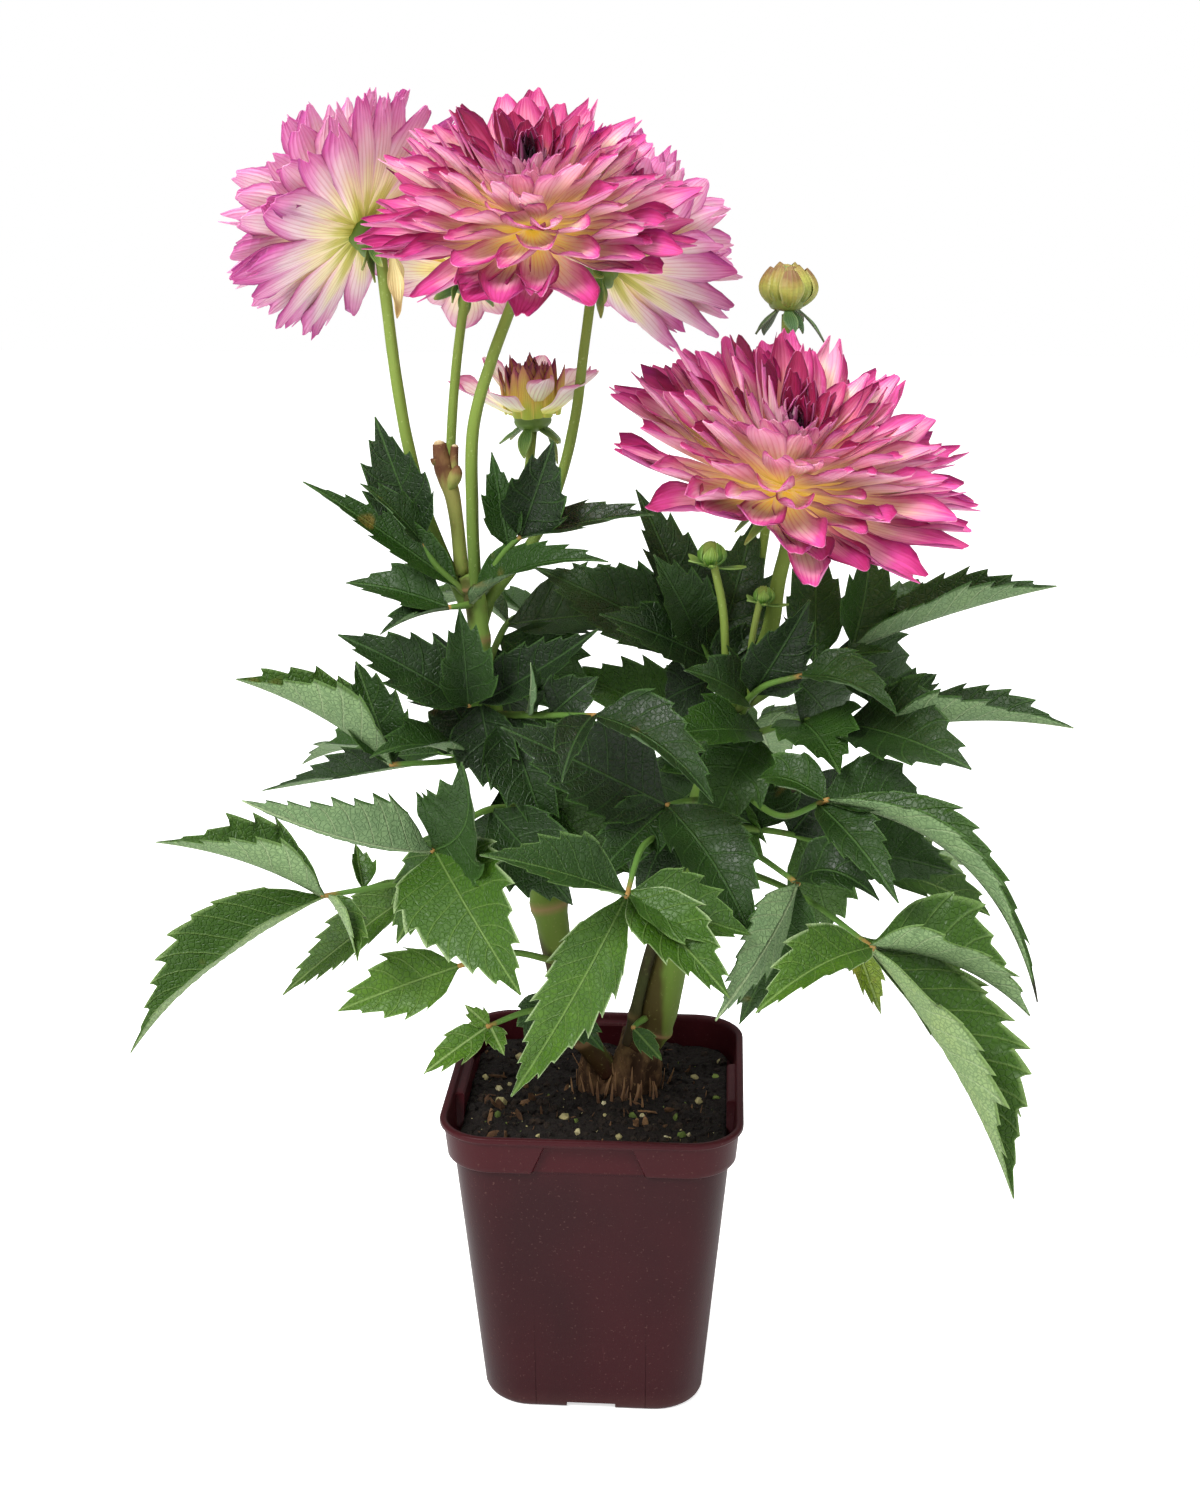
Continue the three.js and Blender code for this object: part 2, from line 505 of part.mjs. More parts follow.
      { tip: [-22, -38, 314], width: 12, at: 0.3, face: [0.8, -0.5, 0.2], arch: 1, fold: 30 },
      { tip: [-18, -22, 241], width: 34, at: 0.12, face: [0.1, -0.9, 0.35], arch: 4, fold: 18 },
    ],
  },
  leaf_upper_mid: {
    petiole: [[-42.5, -3.5, 288], [-46, -9, 290], [-49, -13, 290]],
    leaflets: [
      { tip: [-50, -24, 331], width: 26, face: [0.25, -0.9, 0.2], arch: 2, fold: 26 },
      { tip: [-97, -20, 319], width: 30, face: [-0.3, -0.7, 0.8], arch: 4, fold: 22 },
      { tip: [2, -30, 325], width: 25, at: 0.5, face: [0.1, -0.75, 0.6], arch: -3, fold: 26 },
      { tip: [-79, 10, 304], width: 30, at: 0.7, face: [-0.2, -0.8, 0.6], arch: 4, fold: 16 },
      { tip: [-35, -14, 254], width: 30, at: 0.35, face: [-0.2, -0.9, 0.3], arch: 3, fold: 18 },
    ],
  },
  leaf_cluster_left: {
    petiole: [[-50, -1.5, 331], [-62, -5, 344], [-66, -6, 352]],
    leaflets: [
      { tip: [-83, -4, 399], width: 27, face: [-0.2, -0.9, 0.3], arch: 1, fold: 18 },
      { tip: [-86, -22, 377], width: 16, face: [-0.2, -0.6, 0.8], arch: 2, fold: 20 },
      { tip: [-109, -14, 376], width: 20, at: 0.1, face: [-0.6, -0.5, 0.8], arch: 3, fold: 28 },
    ],
  },
  leaf_cluster_low: {
    petiole: [[-48, -4, 328], [-52, -8, 328], [-56, -10, 328]],
    leaflets: [
      { tip: [-96, -6, 336], width: 21, face: [0, -0.6, 0.8], arch: 3, fold: 16 },
      { tip: [-80, -26, 321], width: 14, face: [-0.2, -0.2, 1], arch: 2, fold: 20 },
      { tip: [6, -32, 351], width: 24, at: 0.1, face: [0.2, -0.5, 0.9], arch: 8, fold: 24 },
    ],
  },
  leaf_cluster_right: {
    petiole: [[-45.5, -3.5, 332], [-34, -10, 350], [-28, -12, 356]],
    leaflets: [
      { tip: [-15, -18, 393], width: 28, face: [0.2, -0.9, 0.3], arch: 2, fold: 20 },
      { tip: [22, -18, 366], width: 20, face: [0.1, -0.5, 1], arch: 2, fold: 20 },
      { tip: [-38, -16, 388], width: 16, at: 0.6, face: [0.1, -0.9, 0.3], arch: 1, fold: 18 },
    ],
  },
  leaf_back_right: {
    petiole: [[43.5, 9, 250], [56, 44, 262], [64, 70, 258]],
    leaflets: [
      { tip: [72, 119, 222], width: 40, face: [0, 0.5, 0.8], arch: 6, fold: 18 },
      { tip: [112, 88, 250], width: 36, face: [0.2, 0.4, 1], arch: 5, fold: 18 },
      { tip: [26, 94, 240], width: 36, face: [-0.2, 0.4, 1], arch: 5, fold: 18 },
      { tip: [100, 48, 262], width: 28, at: 0.6, face: [0.2, 0.2, 1], arch: 4, fold: 18 },
      { tip: [-18, 47, 289], width: 40, at: 0.4, face: [-0.2, -0.7, 0.7], arch: 3, fold: 14 },
      { tip: [-1, 36, 201], width: 44, at: 0.2, face: [-0.2, -0.8, 0.5], arch: 4, fold: 14 },
      { tip: [49, 30, 193], width: 36, at: 0.12, face: [0.1, -0.8, 0.5], arch: 4, fold: 16 },
      { tip: [24, 52, 256], width: 40, at: 0.3, face: [-0.1, -0.7, 0.7], arch: 3, fold: 14 },
    ],
  },
  leaf_back_high: {
    petiole: [[-44, 3, 300], [-38, 34, 312], [-32, 56, 310]],
    leaflets: [
      { tip: [-24, 112, 288], width: 36, face: [0, 0.5, 0.9], arch: 6, fold: 18 },
      { tip: [-76, 84, 306], width: 34, face: [-0.2, 0.4, 1], arch: 5, fold: 18 },
      { tip: [10, 82, 302], width: 34, face: [0.2, 0.4, 1], arch: 5, fold: 18 },
      { tip: [-72, 40, 322], width: 26, at: 0.5, face: [-0.2, 0.1, 1], arch: 4, fold: 18 },
      { tip: [34, 36, 316], width: 38, at: 0.45, face: [0.1, -0.6, 0.8], arch: 3, fold: 14 },
      { tip: [-33, 22, 268], width: 40, at: 0.2, face: [-0.1, -0.9, 0.3], arch: 3, fold: 14 },
      { tip: [-7, 34, 280], width: 36, at: 0.3, face: [0.1, -0.8, 0.5], arch: 3, fold: 14 },
    ],
  },
};

function leafSolid({ petiole, leaflets }, grow) {
  const path = petiole.map((p, i) => [...p, petioleRadius * (1 - 0.25 * (i / (petiole.length - 1)))]);
  const curve = new THREE.CatmullRomCurve3(petiole.map(vec));
  const blades = leaflets.map(({ at, ...leaflet }, order) =>
    blade(
      { base: curve.getPoint(at ?? 0.985 - 0.012 * order).toArray(), ...leaflet },
      leafletOutline,
      leafThickness,
      grow,
    ),
  );
  return unionOf([stalk(path, grow, 6), ...blades]);
}

// Stands a turned geometry at a place, with its axis turned from +Y to the one given
function placedOn(geometry, place, axis) {
  const turn = new THREE.Quaternion().setFromUnitVectors(new THREE.Vector3(0, 1, 0), vec(axis).normalize());
  return geometry.applyQuaternion(turn).translate(...place);
}

// A turned solid from a profile of [radius, height] that starts and ends on the axis
function turned(profile, place, axis, grow = 0, segments = 10) {
  const outline = profile.map(([r, height]) => new THREE.Vector2(r > 0 ? r + grow : 0, height));
  outline[0].y -= grow;
  outline[outline.length - 1].y += grow;
  return solidOf(placedOn(new THREE.LatheGeometry(outline, segments), place, axis));
}

// A crown of petals: the space between a low and a high row that lean out from the axis, with pointed lobes.
// Angles are from the axis in degrees, hub and base are the radius and height where the petals spring.
function petalCrown({ centre, axis }, { low, high, length, lobes, notch }, hub, base, grow) {
  const along = (angle, share) => {
    const lean = THREE.MathUtils.degToRad(angle);
    return [hub + Math.sin(lean) * length * share, base + Math.cos(lean) * length * share];
  };
  const under = [[0, base], [hub, base], along(low + 6, 0.55), along(low, 1)];
  const over = [along(high, 0.84), along(high - 4, 0.5), [hub * 0.7, base + 2.5], [0, base + 2.5]];
  const profile = [
    ...under.map(([r, h]) => new THREE.Vector2(r > 0 ? r + grow : 0, h - grow)),
    ...over.map(([r, h]) => new THREE.Vector2(r, h + 1.5 * grow)),
  ];
  const crown = new THREE.LatheGeometry(profile, 2 * lobes);
  const position = crown.getAttribute("position");
  const lowTip = under.length - 1;
  const highTip = under.length;
  for (let i = 0; i < position.count; i++) {
    const onProfile = i % profile.length;
    const odd = Math.floor(i / profile.length) % 2;
    const isNotch = (onProfile === lowTip && odd === 1) || (onProfile === highTip && odd === 0);
    if (!isNotch) continue;
    position.setX(i, position.getX(i) * (1 - notch));
    position.setZ(i, position.getZ(i) * (1 - notch));
  }
  return solidOf(placedOn(crown, centre, axis));
}

// The leafy bracts that hang round the bud's stalk
function bractRing({ centre, count, angle, length, width }, hub, grow) {
  const lean = THREE.MathUtils.degToRad(angle);
  const top = centre[2] + hub[1][1] + 1.5;
  const blades = [];
  for (let k = 0; k < count; k++) {
    const turn = ((k + 0.25) / count) * 2 * Math.PI;
    const radial = [Math.cos(turn), Math.sin(turn)];
    const reach = radial.map((share, i) => centre[i] + share * Math.sin(lean) * length);
    const tip = [...reach, top + Math.cos(lean) * length];
    const base = [centre[0] + 2 * radial[0], centre[1] + 2 * radial[1], top];
    const face = [...radial.map((share) => share * 0.7), 0.7];
    const shape = { base, tip, face, width, arch: 0.16 * length, fold: 14 };
    blades.push(blade(shape, petalOutline, petalThickness, grow));
  }
  return unionOf([turned(hub, centre, [0, 0, 1], grow, 8), ...blades]);
}

// Assembly: each piece is cut back by the ones before it that it meets, so that a small gap stays between
const plant = new THREE.Group();
const placed = [];

function boxesMeet(a, b) {
  return [0, 1, 2].every((i) => a.min[i] < b.max[i] && b.min[i] < a.max[i]);
}

function add(name, finish, build) {
  let solid = build(0);
  for (const other of placed) {
    if (boxesMeet(solid.boundingBox(), other.fence.boundingBox())) solid = solid.subtract(other.fence);
  }
  const largest = solid.simplify(sliver).decompose().sort((a, b) => b.volume() - a.volume())[0];
  placed.push({ name, fence: build(seatGap) });
  const [color, roughness] = finishes[finish];
  const mesh = new THREE.Mesh(
    geometryOf(largest),
    new THREE.MeshStandardMaterial({ color, roughness, metalness: 0 }),
  );
  mesh.name = name;
  plant.add(mesh);
}

add("pot", "pot", potSolid);
add("root_crown", "bark", (grow) => stalk(stems.root_crown, grow, 12).add(stalk(stems.old_stump, grow, 9)));
add("soil", "soil", soilSolid);
add("main_stem", "mottledStem", (grow) => stalk(stems.main_stem, grow, 10));
add("left_stem", "mottledStem", (grow) => stalk(stems.left_stem, grow, 9, 1));
add("cut_stem", "mottledStem", (grow) => stalk(stems.cut_stem, grow, 8));
for (const [name, path] of Object.entries(stalks)) {
  const flower = flowers[name.replace("_stalk", "")];
  const top = path[path.length - 1];
  const end = flower ? [vec(flower.centre).addScaledVector(vec(flower.axis).normalize(), -9).toArray()] : [];
  const whole = [...path, ...end.map((p) => [...p, top[3]])];
  add(name, "stem", (grow) => stalk(whole, grow, 7));
}

for (const [name, { path, centre, radius }] of Object.entries(smallBuds)) {
  const side = [[0, -1], [0.8, -0.5], [1, 0], [0.7, 0.7], [0, 1]].map(([r, h]) => [r * radius, h * radius]);
  add(name, "calyx", (grow) => unionOf([stalk(path, grow, 6), turned(side, centre, [0, 0, 1], grow, 8)]));
}

for (const [name, flower] of Object.entries(flowers)) {
  const r = flower.calyx;
  const cup = [[0, -12], [3.4, -12], [r, -6], [r, -0.3], [0, -0.3]];
  add(`${name}_calyx`, "calyx", (grow) => turned(cup, flower.centre, flower.axis, grow));
  add(`${name}_outer_petals`, "petal", (grow) => petalCrown(flower, flower.outer, r, 0, grow));
  add(`${name}_inner_petals`, "innerPetal", (grow) => petalCrown(flower, flower.inner, r * 0.6, 3.2, grow));
}

const budSide = [[0, -0.5], [0.7, -0.42], [1, -0.05], [0.75, 0.35], [0, 0.5]].map(([r, h]) => [
  r * bud.radius,
  h * bud.height,
]);
add("bud", "bud", (grow) => turned(budSide, bud.centre, [0, 0, 1], grow));
const bractHub = [[0, -13], [4, -13], [4.6, -9.4], [0, -9.4]];
add("bud_bracts", "calyx", (grow) => bractRing(bracts, bractHub, grow));

for (const [name, leaf] of Object.entries(leaves)) {
  add(name, "leaf", (grow) => leafSolid(leaf, grow));
}

export default plant;
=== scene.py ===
import math

import bmesh
import bpy
import numpy as np
from mathutils import Matrix, Vector, noise


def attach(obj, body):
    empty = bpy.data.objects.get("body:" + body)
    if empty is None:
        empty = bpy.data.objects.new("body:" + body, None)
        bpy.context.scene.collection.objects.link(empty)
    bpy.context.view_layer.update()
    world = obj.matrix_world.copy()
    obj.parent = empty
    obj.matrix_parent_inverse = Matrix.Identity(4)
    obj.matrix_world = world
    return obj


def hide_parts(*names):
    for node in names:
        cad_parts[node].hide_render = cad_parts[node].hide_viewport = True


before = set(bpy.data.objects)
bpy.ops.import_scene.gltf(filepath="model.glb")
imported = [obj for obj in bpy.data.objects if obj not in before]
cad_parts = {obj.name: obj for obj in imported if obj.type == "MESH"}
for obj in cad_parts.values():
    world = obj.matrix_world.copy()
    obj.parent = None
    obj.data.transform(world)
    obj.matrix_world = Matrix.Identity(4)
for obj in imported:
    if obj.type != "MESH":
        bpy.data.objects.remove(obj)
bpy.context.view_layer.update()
scene = bpy.context.scene
mm = 0.001


# Node trees: a socket that can be used in sums
class Signal:
    def __init__(self, tree, socket):
        self.tree = tree
        self.socket = socket

    def math(self, operation, *others):
        node = self.tree.nodes.new("ShaderNodeMath")
        node.operation = operation
        for slot, item in zip(node.inputs, (self,) + others):
            feed(self.tree, slot, item)
        return Signal(self.tree, node.outputs[0])

    def __add__(self, other):
        return self.math("ADD", other)

    def __sub__(self, other):
        return self.math("SUBTRACT", other)

    def __mul__(self, other):
        return self.math("MULTIPLY", other)

    def __truediv__(self, other):
        return self.math("DIVIDE", other)

    def __pow__(self, other):
        return self.math("POWER", other)

    def __rsub__(self, other):
        return self * -1.0 + other

    __radd__ = __add__
    __rmul__ = __mul__

    def sin(self):
        return self.math("SINE")

    def cos(self):
        return self.math("COSINE")

    def abs(self):
        return self.math("ABSOLUTE")

    def fract(self):
        return self.math("FRACT")

    def step(self, low, high):  # smooth 0 to 1 between two values
        node = self.tree.nodes.new("ShaderNodeMapRange")
        node.interpolation_type = "SMOOTHSTEP"
        for name, item in (("Value", self), ("From Min", low), ("From Max", high)):
            feed(self.tree, openSocket(node.inputs, name), item)
        return Signal(self.tree, openSocket(node.outputs, "Result"))

    def blend(self, other, share):  # from this to the other
        return self + (other - self) * share


def openSocket(sockets, name):
    return next(s for s in sockets if s.name == name and s.enabled)


def feed(tree, slot, item):
    if isinstance(item, Signal):
        tree.links.new(item.socket, slot)
    elif item is not None:
        slot.default_value = item


def addNode(tree, kind, settings=None, **inputs):
    node = tree.nodes.new(kind)
    for key, value in (settings or {}).items():
        setattr(node, key, value)
    for key, item in inputs.items():
        feed(tree, openSocket(node.inputs, key.replace("_", " ")), item)
    return node


def signal(node, output=0):
    socket = node.outputs[output] if isinstance(output, int) else openSocket(node.outputs, output)
    return Signal(node.id_data, socket)


def colour(code):  # "#rrggbb" as the linear colour that nodes use
    shares = [int(code[i : i + 2], 16) / 255 for i in (1, 3, 5)]
    return tuple(c / 12.92 if c <= 0.04045 else ((c + 0.055) / 1.055) ** 2.4 for c in shares) + (1.0,)


def objectPlace(tree):
    return signal(addNode(tree, "ShaderNodeTexCoord"), "Object")


def noiseField(tree, scale, detail, roughness=0.55, place=None, stretch=None):
    place = place or objectPlace(tree)
    if stretch:
        place = signal(addNode(tree, "ShaderNodeMapping", Scale=stretch, Vector=place))
    settings = {"Scale": scale, "Detail": detail, "Roughness": roughness, "Vector": place}
    return signal(addNode(tree, "ShaderNodeTexNoise", **settings))


def ramp(tree, factor, stops):  # a smooth ramp through colours at their places
    node = addNode(tree, "ShaderNodeValToRGB", Fac=factor)
    node.color_ramp.interpolation = "EASE"
    points = node.color_ramp.elements
    while len(points) < len(stops):
        points.new(0.5)
    for point, (place, code) in zip(points, stops):
        point.position = place
        point.color = colour(code)
    return signal(node, "Color")


def mixColour(tree, share, first, second, kind="MIX"):
    node = addNode(tree, "ShaderNodeMix", {"data_type": "RGBA", "blend_type": kind, "clamp_factor": True})
    for name, item in (("Factor", share), ("A", first), ("B", second)):
        feed(tree, openSocket(node.inputs, name), colour(item) if isinstance(item, str) else item)
    return signal(node, "Result")


def attribute(tree, name, output="Fac"):
    return signal(addNode(tree, "ShaderNodeAttribute", {"attribute_name": name}), output)


def parts(tree, vector):
    node = addNode(tree, "ShaderNodeSeparateXYZ", Vector=vector)
    return [signal(node, i) for i in range(3)]


def vector(tree, x, y, z):
    return signal(addNode(tree, "ShaderNodeCombineXYZ", X=x, Y=y, Z=z))


def bump(tree, height, distance, strength):
    node = addNode(tree, "ShaderNodeBump", Height=height, Distance=distance, Strength=strength)
    return signal(node, "Normal")


def newMaterial(name, **sockets):  # a Principled material; constants are set on the shader's own sockets
    material = bpy.data.materials.new(name)
    material.use_nodes = True
    shader = material.node_tree.nodes["Principled BSDF"]
    for key, value in sockets.items():
        shader.inputs[key.replace("_", " ")].default_value = value
    return material, material.node_tree, shader


def wire(tree, shader, **links):
    for key, item in links.items():
        feed(tree, shader.inputs[key.replace("_", " ")], item)


# Meshes
def meshFrom(name, points, faces, materials, fields=None, kinds=None, sharp=None):
    data = bpy.data.meshes.new(name)
    data.vertices.add(len(points))
    data.vertices.foreach_set("co", np.asarray(points, np.float32).ravel())
    faces = np.asarray(faces, np.int32)  # four corners each, the last one -1 in a triangle
    corners = (faces >= 0).sum(1)
    data.loops.add(int(corners.sum()))
    data.loops.foreach_set("vertex_index", faces[faces >= 0])
    data.polygons.add(len(faces))
    data.polygons.foreach_set("loop_start", (np.cumsum(corners) - corners).astype(np.int32))
    for material in materials:
        data.materials.append(material)
    if kinds is not None:  # which of the materials each face has
        data.polygons.foreach_set("material_index", np.asarray(kinds, np.int32))
    data.update(calc_edges=True)
    data.validate()
    data.shade_smooth()
    for key, values in (fields or {}).items():
        values = np.asarray(values, np.float32)
        kind = "FLOAT" if values.ndim == 1 else "FLOAT_VECTOR"
        layer = data.attributes.new(key, kind, "POINT")
        layer.data.foreach_set("value" if values.ndim == 1 else "vector", values.ravel())
    if sharp is not None:  # edges whose two ends are both marked
        ends = np.zeros(len(data.edges) * 2, np.int32)
        data.edges.foreach_get("vertices", ends)
        marked = np.asarray(sharp)[ends.reshape(-1, 2)].all(1)
        data.attributes.new("sharp_edge", "BOOLEAN", "EDGE").data.foreach_set("value", marked)
    return data


def linked(name, data):
    item = bpy.data.objects.new(name, data)
    scene.collection.objects.link(item)
    return item


def newPiece(name, data, slot, *nodes):
    piece = linked(name, data)
    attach(piece, "root")
    if nodes:
        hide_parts(*nodes)


def joined(blocks):  # several blocks of points, faces, fields and kind as one
    points, faces, fields, kinds, start = [], [], {}, [], 0
    for block in blocks:
        points.append(block["points"])
        faces.append(np.where(block["faces"] < 0, -1, block["faces"] + start))
        kinds.append(np.full(len(block["faces"]), block["kind"]))
        for key, values in block["fields"].items():
            fields.setdefault(key, []).append(values)
        start += len(block["points"])
    return {
        "points": np.concatenate(points),
        "faces": np.concatenate(faces),
        "fields": {key: np.concatenate(values) for key, values in fields.items()},
        "kinds": np.concatenate(kinds),
    }


def smoothPath(points, places):  # centripetal Catmull-Rom, places from 0 to 1, any number of columns
    points = np.asarray(points, float)
    whole = np.concatenate([[2 * points[0] - points[1]], points, [2 * points[-1] - points[-2]]])
    spans = len(points) - 1
    places = np.clip(np.asarray(places, float), 0, 1) * spans
    first = np.minimum(places.astype(int), spans - 1)
    local = (places - first)[:, None]
    p0, p1, p2, p3 = (whole[first + i] for i in range(4))
    gaps = [np.sqrt(np.linalg.norm((b - a)[:, :3], axis=1)) for a, b in ((p0, p1), (p1, p2), (p2, p3))]
    d0, d1, d2 = (np.maximum(gap, 1e-6)[:, None] for gap in gaps)
    m1 = ((p1 - p0) / d0 - (p2 - p0) / (d0 + d1) + (p2 - p1) / d1) * d1
    m2 = ((p2 - p1) / d1 - (p3 - p1) / (d1 + d2) + (p3 - p2) / d2) * d1
    return (
        p1 + m1 * local + (3 * (p2 - p1) - 2 * m1 - m2) * local**2 + (2 * (p1 - p2) + m1 + m2) * local**3
    )


def unit(vectors):
    vectors = np.asarray(vectors, float)
    return vectors / np.maximum(np.linalg.norm(vectors, axis=-1, keepdims=True), 1e-9)


def gridFaces(rows, columns, wrap=False):  # four corners each; wrap closes every row to a ring
    r = np.arange(rows - 1)[:, None] * columns
    c = np.arange(columns if wrap else columns - 1)[None, :]
    a, b = r + c, r + (c + 1) % columns
    return np.stack([a, b, b + columns, a + columns], -1).reshape(-1, 4)


def tube(points, sides, step, shape, kind):
    # a round stem along points [x, y, z, radius] in millimetres; shape(place, angle) scales its radius
    points = np.asarray(points, float)
    length = np.linalg.norm(np.diff(points[:, :3], axis=0), axis=1).sum()
    rings = max(int(length / step), 4) + 1
    places = np.linspace(0, 1, rings)
    line = smoothPath(points, places)
    centre, radius = line[:, :3], line[:, 3]
    along = unit(np.gradient(centre, axis=0))
    side = unit(np.cross(along[0], [0.3, 1, 0.1]))
    normals = []
    for direction in along:  # carried along without twist
        side = unit(side - direction * (side @ direction))
        normals.append(side)
    normals = np.array(normals)
    across = np.cross(along, normals)
    angles = np.linspace(0, 2 * np.pi, sides, endpoint=False)
    scale = shape(places[:, None] * length, angles[None, :])
    cosines, sines = (f(angles)[None, :, None] for f in (np.cos, np.sin))
    ring = normals[:, None] * cosines + across[:, None] * sines
    skin = centre[:, None] + ring * (radius[:, None] * scale)[..., None]
    ends = centre[[0, -1]] + along[[0, -1]] * [[-0.25], [0.25]] * radius[[0, -1], None]
    count = rings * sides
    k = np.arange(sides)
    after = (k + 1) % sides
    last = count - sides
    none = np.full(sides, -1)
    low = np.stack([np.full(sides, count), after, k, none], -1)
    high = np.stack([np.full(sides, count + 1), last + k, last + after, none], -1)
    flank = np.cos(angles - np.pi / 4)  # 1 on the left front of an upright stem, -1 on the right back
    fields = {
        "along": np.append(np.repeat(places * length, sides), [0, length]) * mm,
        "share": np.append(np.repeat(places, sides), [0, 1]),
        "flank": np.append(np.tile(flank, rings), [0, 0]),
    }
    return {
        "points": np.concatenate([skin.reshape(-1, 3), ends]) * mm,
        "faces": np.concatenate([gridFaces(rings, sides, True), low, high]),
        "fields": fields,
        "kind": kind,
    }


# Effects that several materials share: node groups with named inputs
def makeEffect(name, sizes, results):
    tree = bpy.data.node_groups.new(name, "ShaderNodeTree")
    for key, value in sizes.items():
        socket = tree.interface.new_socket(name=key, in_out="INPUT", socket_type="NodeSocketFloat")
        socket.default_value = value
    entry = tree.nodes.new("NodeGroupInput")
    leave = tree.nodes.new("NodeGroupOutput")
    for key, value in results(tree, {key: Signal(tree, entry.outputs[key]) for key in sizes}).items():
        tree.interface.new_socket(name=key, in_out="OUTPUT", socket_type="NodeSocketFloat")
        feed(tree, leave.inputs[key], value)
    return tree


def effect(tree, group, output, **values):
    node = tree.nodes.new("ShaderNodeGroup")
    node.node_tree = group
    for key, value in values.items():
        feed(tree, node.inputs[key.replace("_", " ")], value)
    return signal(node, output)


def fleckResults(tree, size):
    return {"Mask": noiseField(tree, size["Scale"], 2.0).step(size["Low"], size["High"])}


def grainResults(tree, size):
    place = objectPlace(tree)
    across = vector(tree, size["Across"], size["Across"], size["Along"])
    stretched = addNode(tree, "ShaderNodeVectorMath", {"operation": "MULTIPLY"})
    feed(tree, stretched.inputs[0], place)
    feed(tree, stretched.inputs[1], across)
    return {"Height": noiseField(tree, size["Scale"], 5.0, 0.65, signal(stretched))}


def ribResults(tree, size):  # 1 on each rib, 0 half way between two
    return {"Height": ((size["Place"] * size["Count"]).fract() - 0.5).abs() * 2.0}


fleckEffect = makeEffect("flecks", {"Scale": 700.0, "Low": 0.62, "High": 0.72}, fleckResults)
grainEffect = makeEffect("longGrain", {"Scale": 60.0, "Across": 9.0, "Along": 0.7}, grainResults)
ribEffect = makeEffect("ribs", {"Place": 0.0, "Count": 3.0}, ribResults)


# Materials
def petalMaterial(name, look):
    material, tree, shader = newMaterial(
        name, Specular_IOR_Level=0.35, Sheen_Weight=look["sheen"], Sheen_Roughness=0.4,
        Subsurface_Weight=look["depth"], Subsurface_Radius=(1.0, 0.6, 0.7), Subsurface_Scale=0.003,
        # the emission paints light into the petals' pale feet, in place of light that comes through them
        Emission_Strength=look["glow"],
    )
    u, v, seed = parts(tree, attribute(tree, "petalPlace", "Vector"))
    row = attribute(tree, "petalRow")
    upper = attribute(tree, "petalSide")
    streakPlace = vector(tree, u * 2.2, v * 7.0, seed * 37.0)
    streaks = signal(addNode(tree, "ShaderNodeTexNoise", Vector=streakPlace, Scale=1.0, Detail=3.0))
    patchPlace = vector(tree, u * 1.3, v * 1.2, seed * 19.0)
    patches = signal(addNode(tree, "ShaderNodeTexNoise", Vector=patchPlace, Scale=1.0, Detail=1.0))
    reach = u + v.abs() ** 2.2 * look["edge"] + (streaks - 0.5) * look["streak"] + (patches - 0.5) * 0.22
    reach = reach - row.step(0.04, 0.3) * (1.0 - row.step(0.5, 0.7)) * look["pale"]
    reach = (reach + (seed - 0.5) * look["vary"]) / 1.26
    outer = ramp(tree, reach, look["outer"])
    inner = ramp(tree, reach, look["inner"])
    eye = ramp(tree, reach, look["eye"])
    tint = mixColour(tree, (row + (seed - 0.5) * 0.14).step(*look["innerRows"]), outer, inner)
    under = ramp(tree, reach, look["under"])
    tint = mixColour(tree, (1.0 - upper) * look["underShare"], tint, under)
    tint = mixColour(tree, row.step(*look["eyeRows"]), tint, eye)
    veins = effect(tree, ribEffect, "Height", Place=v + (streaks - 0.5) * 0.18, Count=look["veins"])
    lines = veins.step(0.55, 1.0)
    deeper = mixColour(tree, 1.0, tint, look["vein"], "MULTIPLY")
    tint = mixColour(tree, lines * look["veinShare"] * u.step(0.05, 0.4), tint, deeper)
    rim = v.abs().step(0.86, 1.0) * u.step(0.2, 0.6) * look["rimShare"]
    tint = mixColour(tree, rim, tint, mixColour(tree, 1.0, tint, look["rim"], "MULTIPLY"))
    rough = 0.42 + streaks * 0.25
    height = veins * 0.6 + streaks * 0.5
    glow = mixColour(tree, u.step(0.05, 0.72), tint, "#000000")  # painted light: emission in the petal's own colour, strongest at the pale feet, standing in for light that comes through them
    normal = bump(tree, height, 0.0003, 0.5)
    wire(tree, shader, Base_Color=tint, Emission_Color=glow, Roughness=rough, Normal=normal)
    return material


pinkLook = {
    "outer": [(0.0, "#f0d054"), (0.25, "#f6e09a"), (0.44, "#f6d2be"), (0.57, "#ea98b4"), (0.71, "#ce4490"),
        (0.86, "#a81e64"), (1.0, "#781042")],
    "inner": [(0.0, "#d0ac44"), (0.2, "#dcb068"), (0.4, "#d47c7c"), (0.56, "#b83468"), (0.74, "#921444"),
        (0.9, "#6a0f34"), (1.0, "#4c0a26")],
    "eye": [(0.0, "#6a4a35"), (0.3, "#5c2038"), (0.6, "#320c22"), (1.0, "#180412")],
    "under": [(0.0, "#c4b44c"), (0.2, "#ecd692"), (0.44, "#f6dcc6"), (0.68, "#eebccb"), (0.86, "#cc68a0"),
        (1.0, "#9c2c70")],
    # the emission strength here paints light into the petals, in place of light that comes through them
    "edge": 0.36, "streak": 0.26, "vary": 0.18, "pale": 0.13, "glow": 0.24, "underShare": 0.85,
    "innerRows": (0.5, 0.68), "eyeRows": (0.84, 0.92),
    "veins": 4.5, "vein": "#d87898", "veinShare": 0.4, "rim": "#a04080", "rimShare": 0.7, "sheen": 0.04,
    "depth": 0.3,
}
petalFinish = petalMaterial("petal", pinkLook)
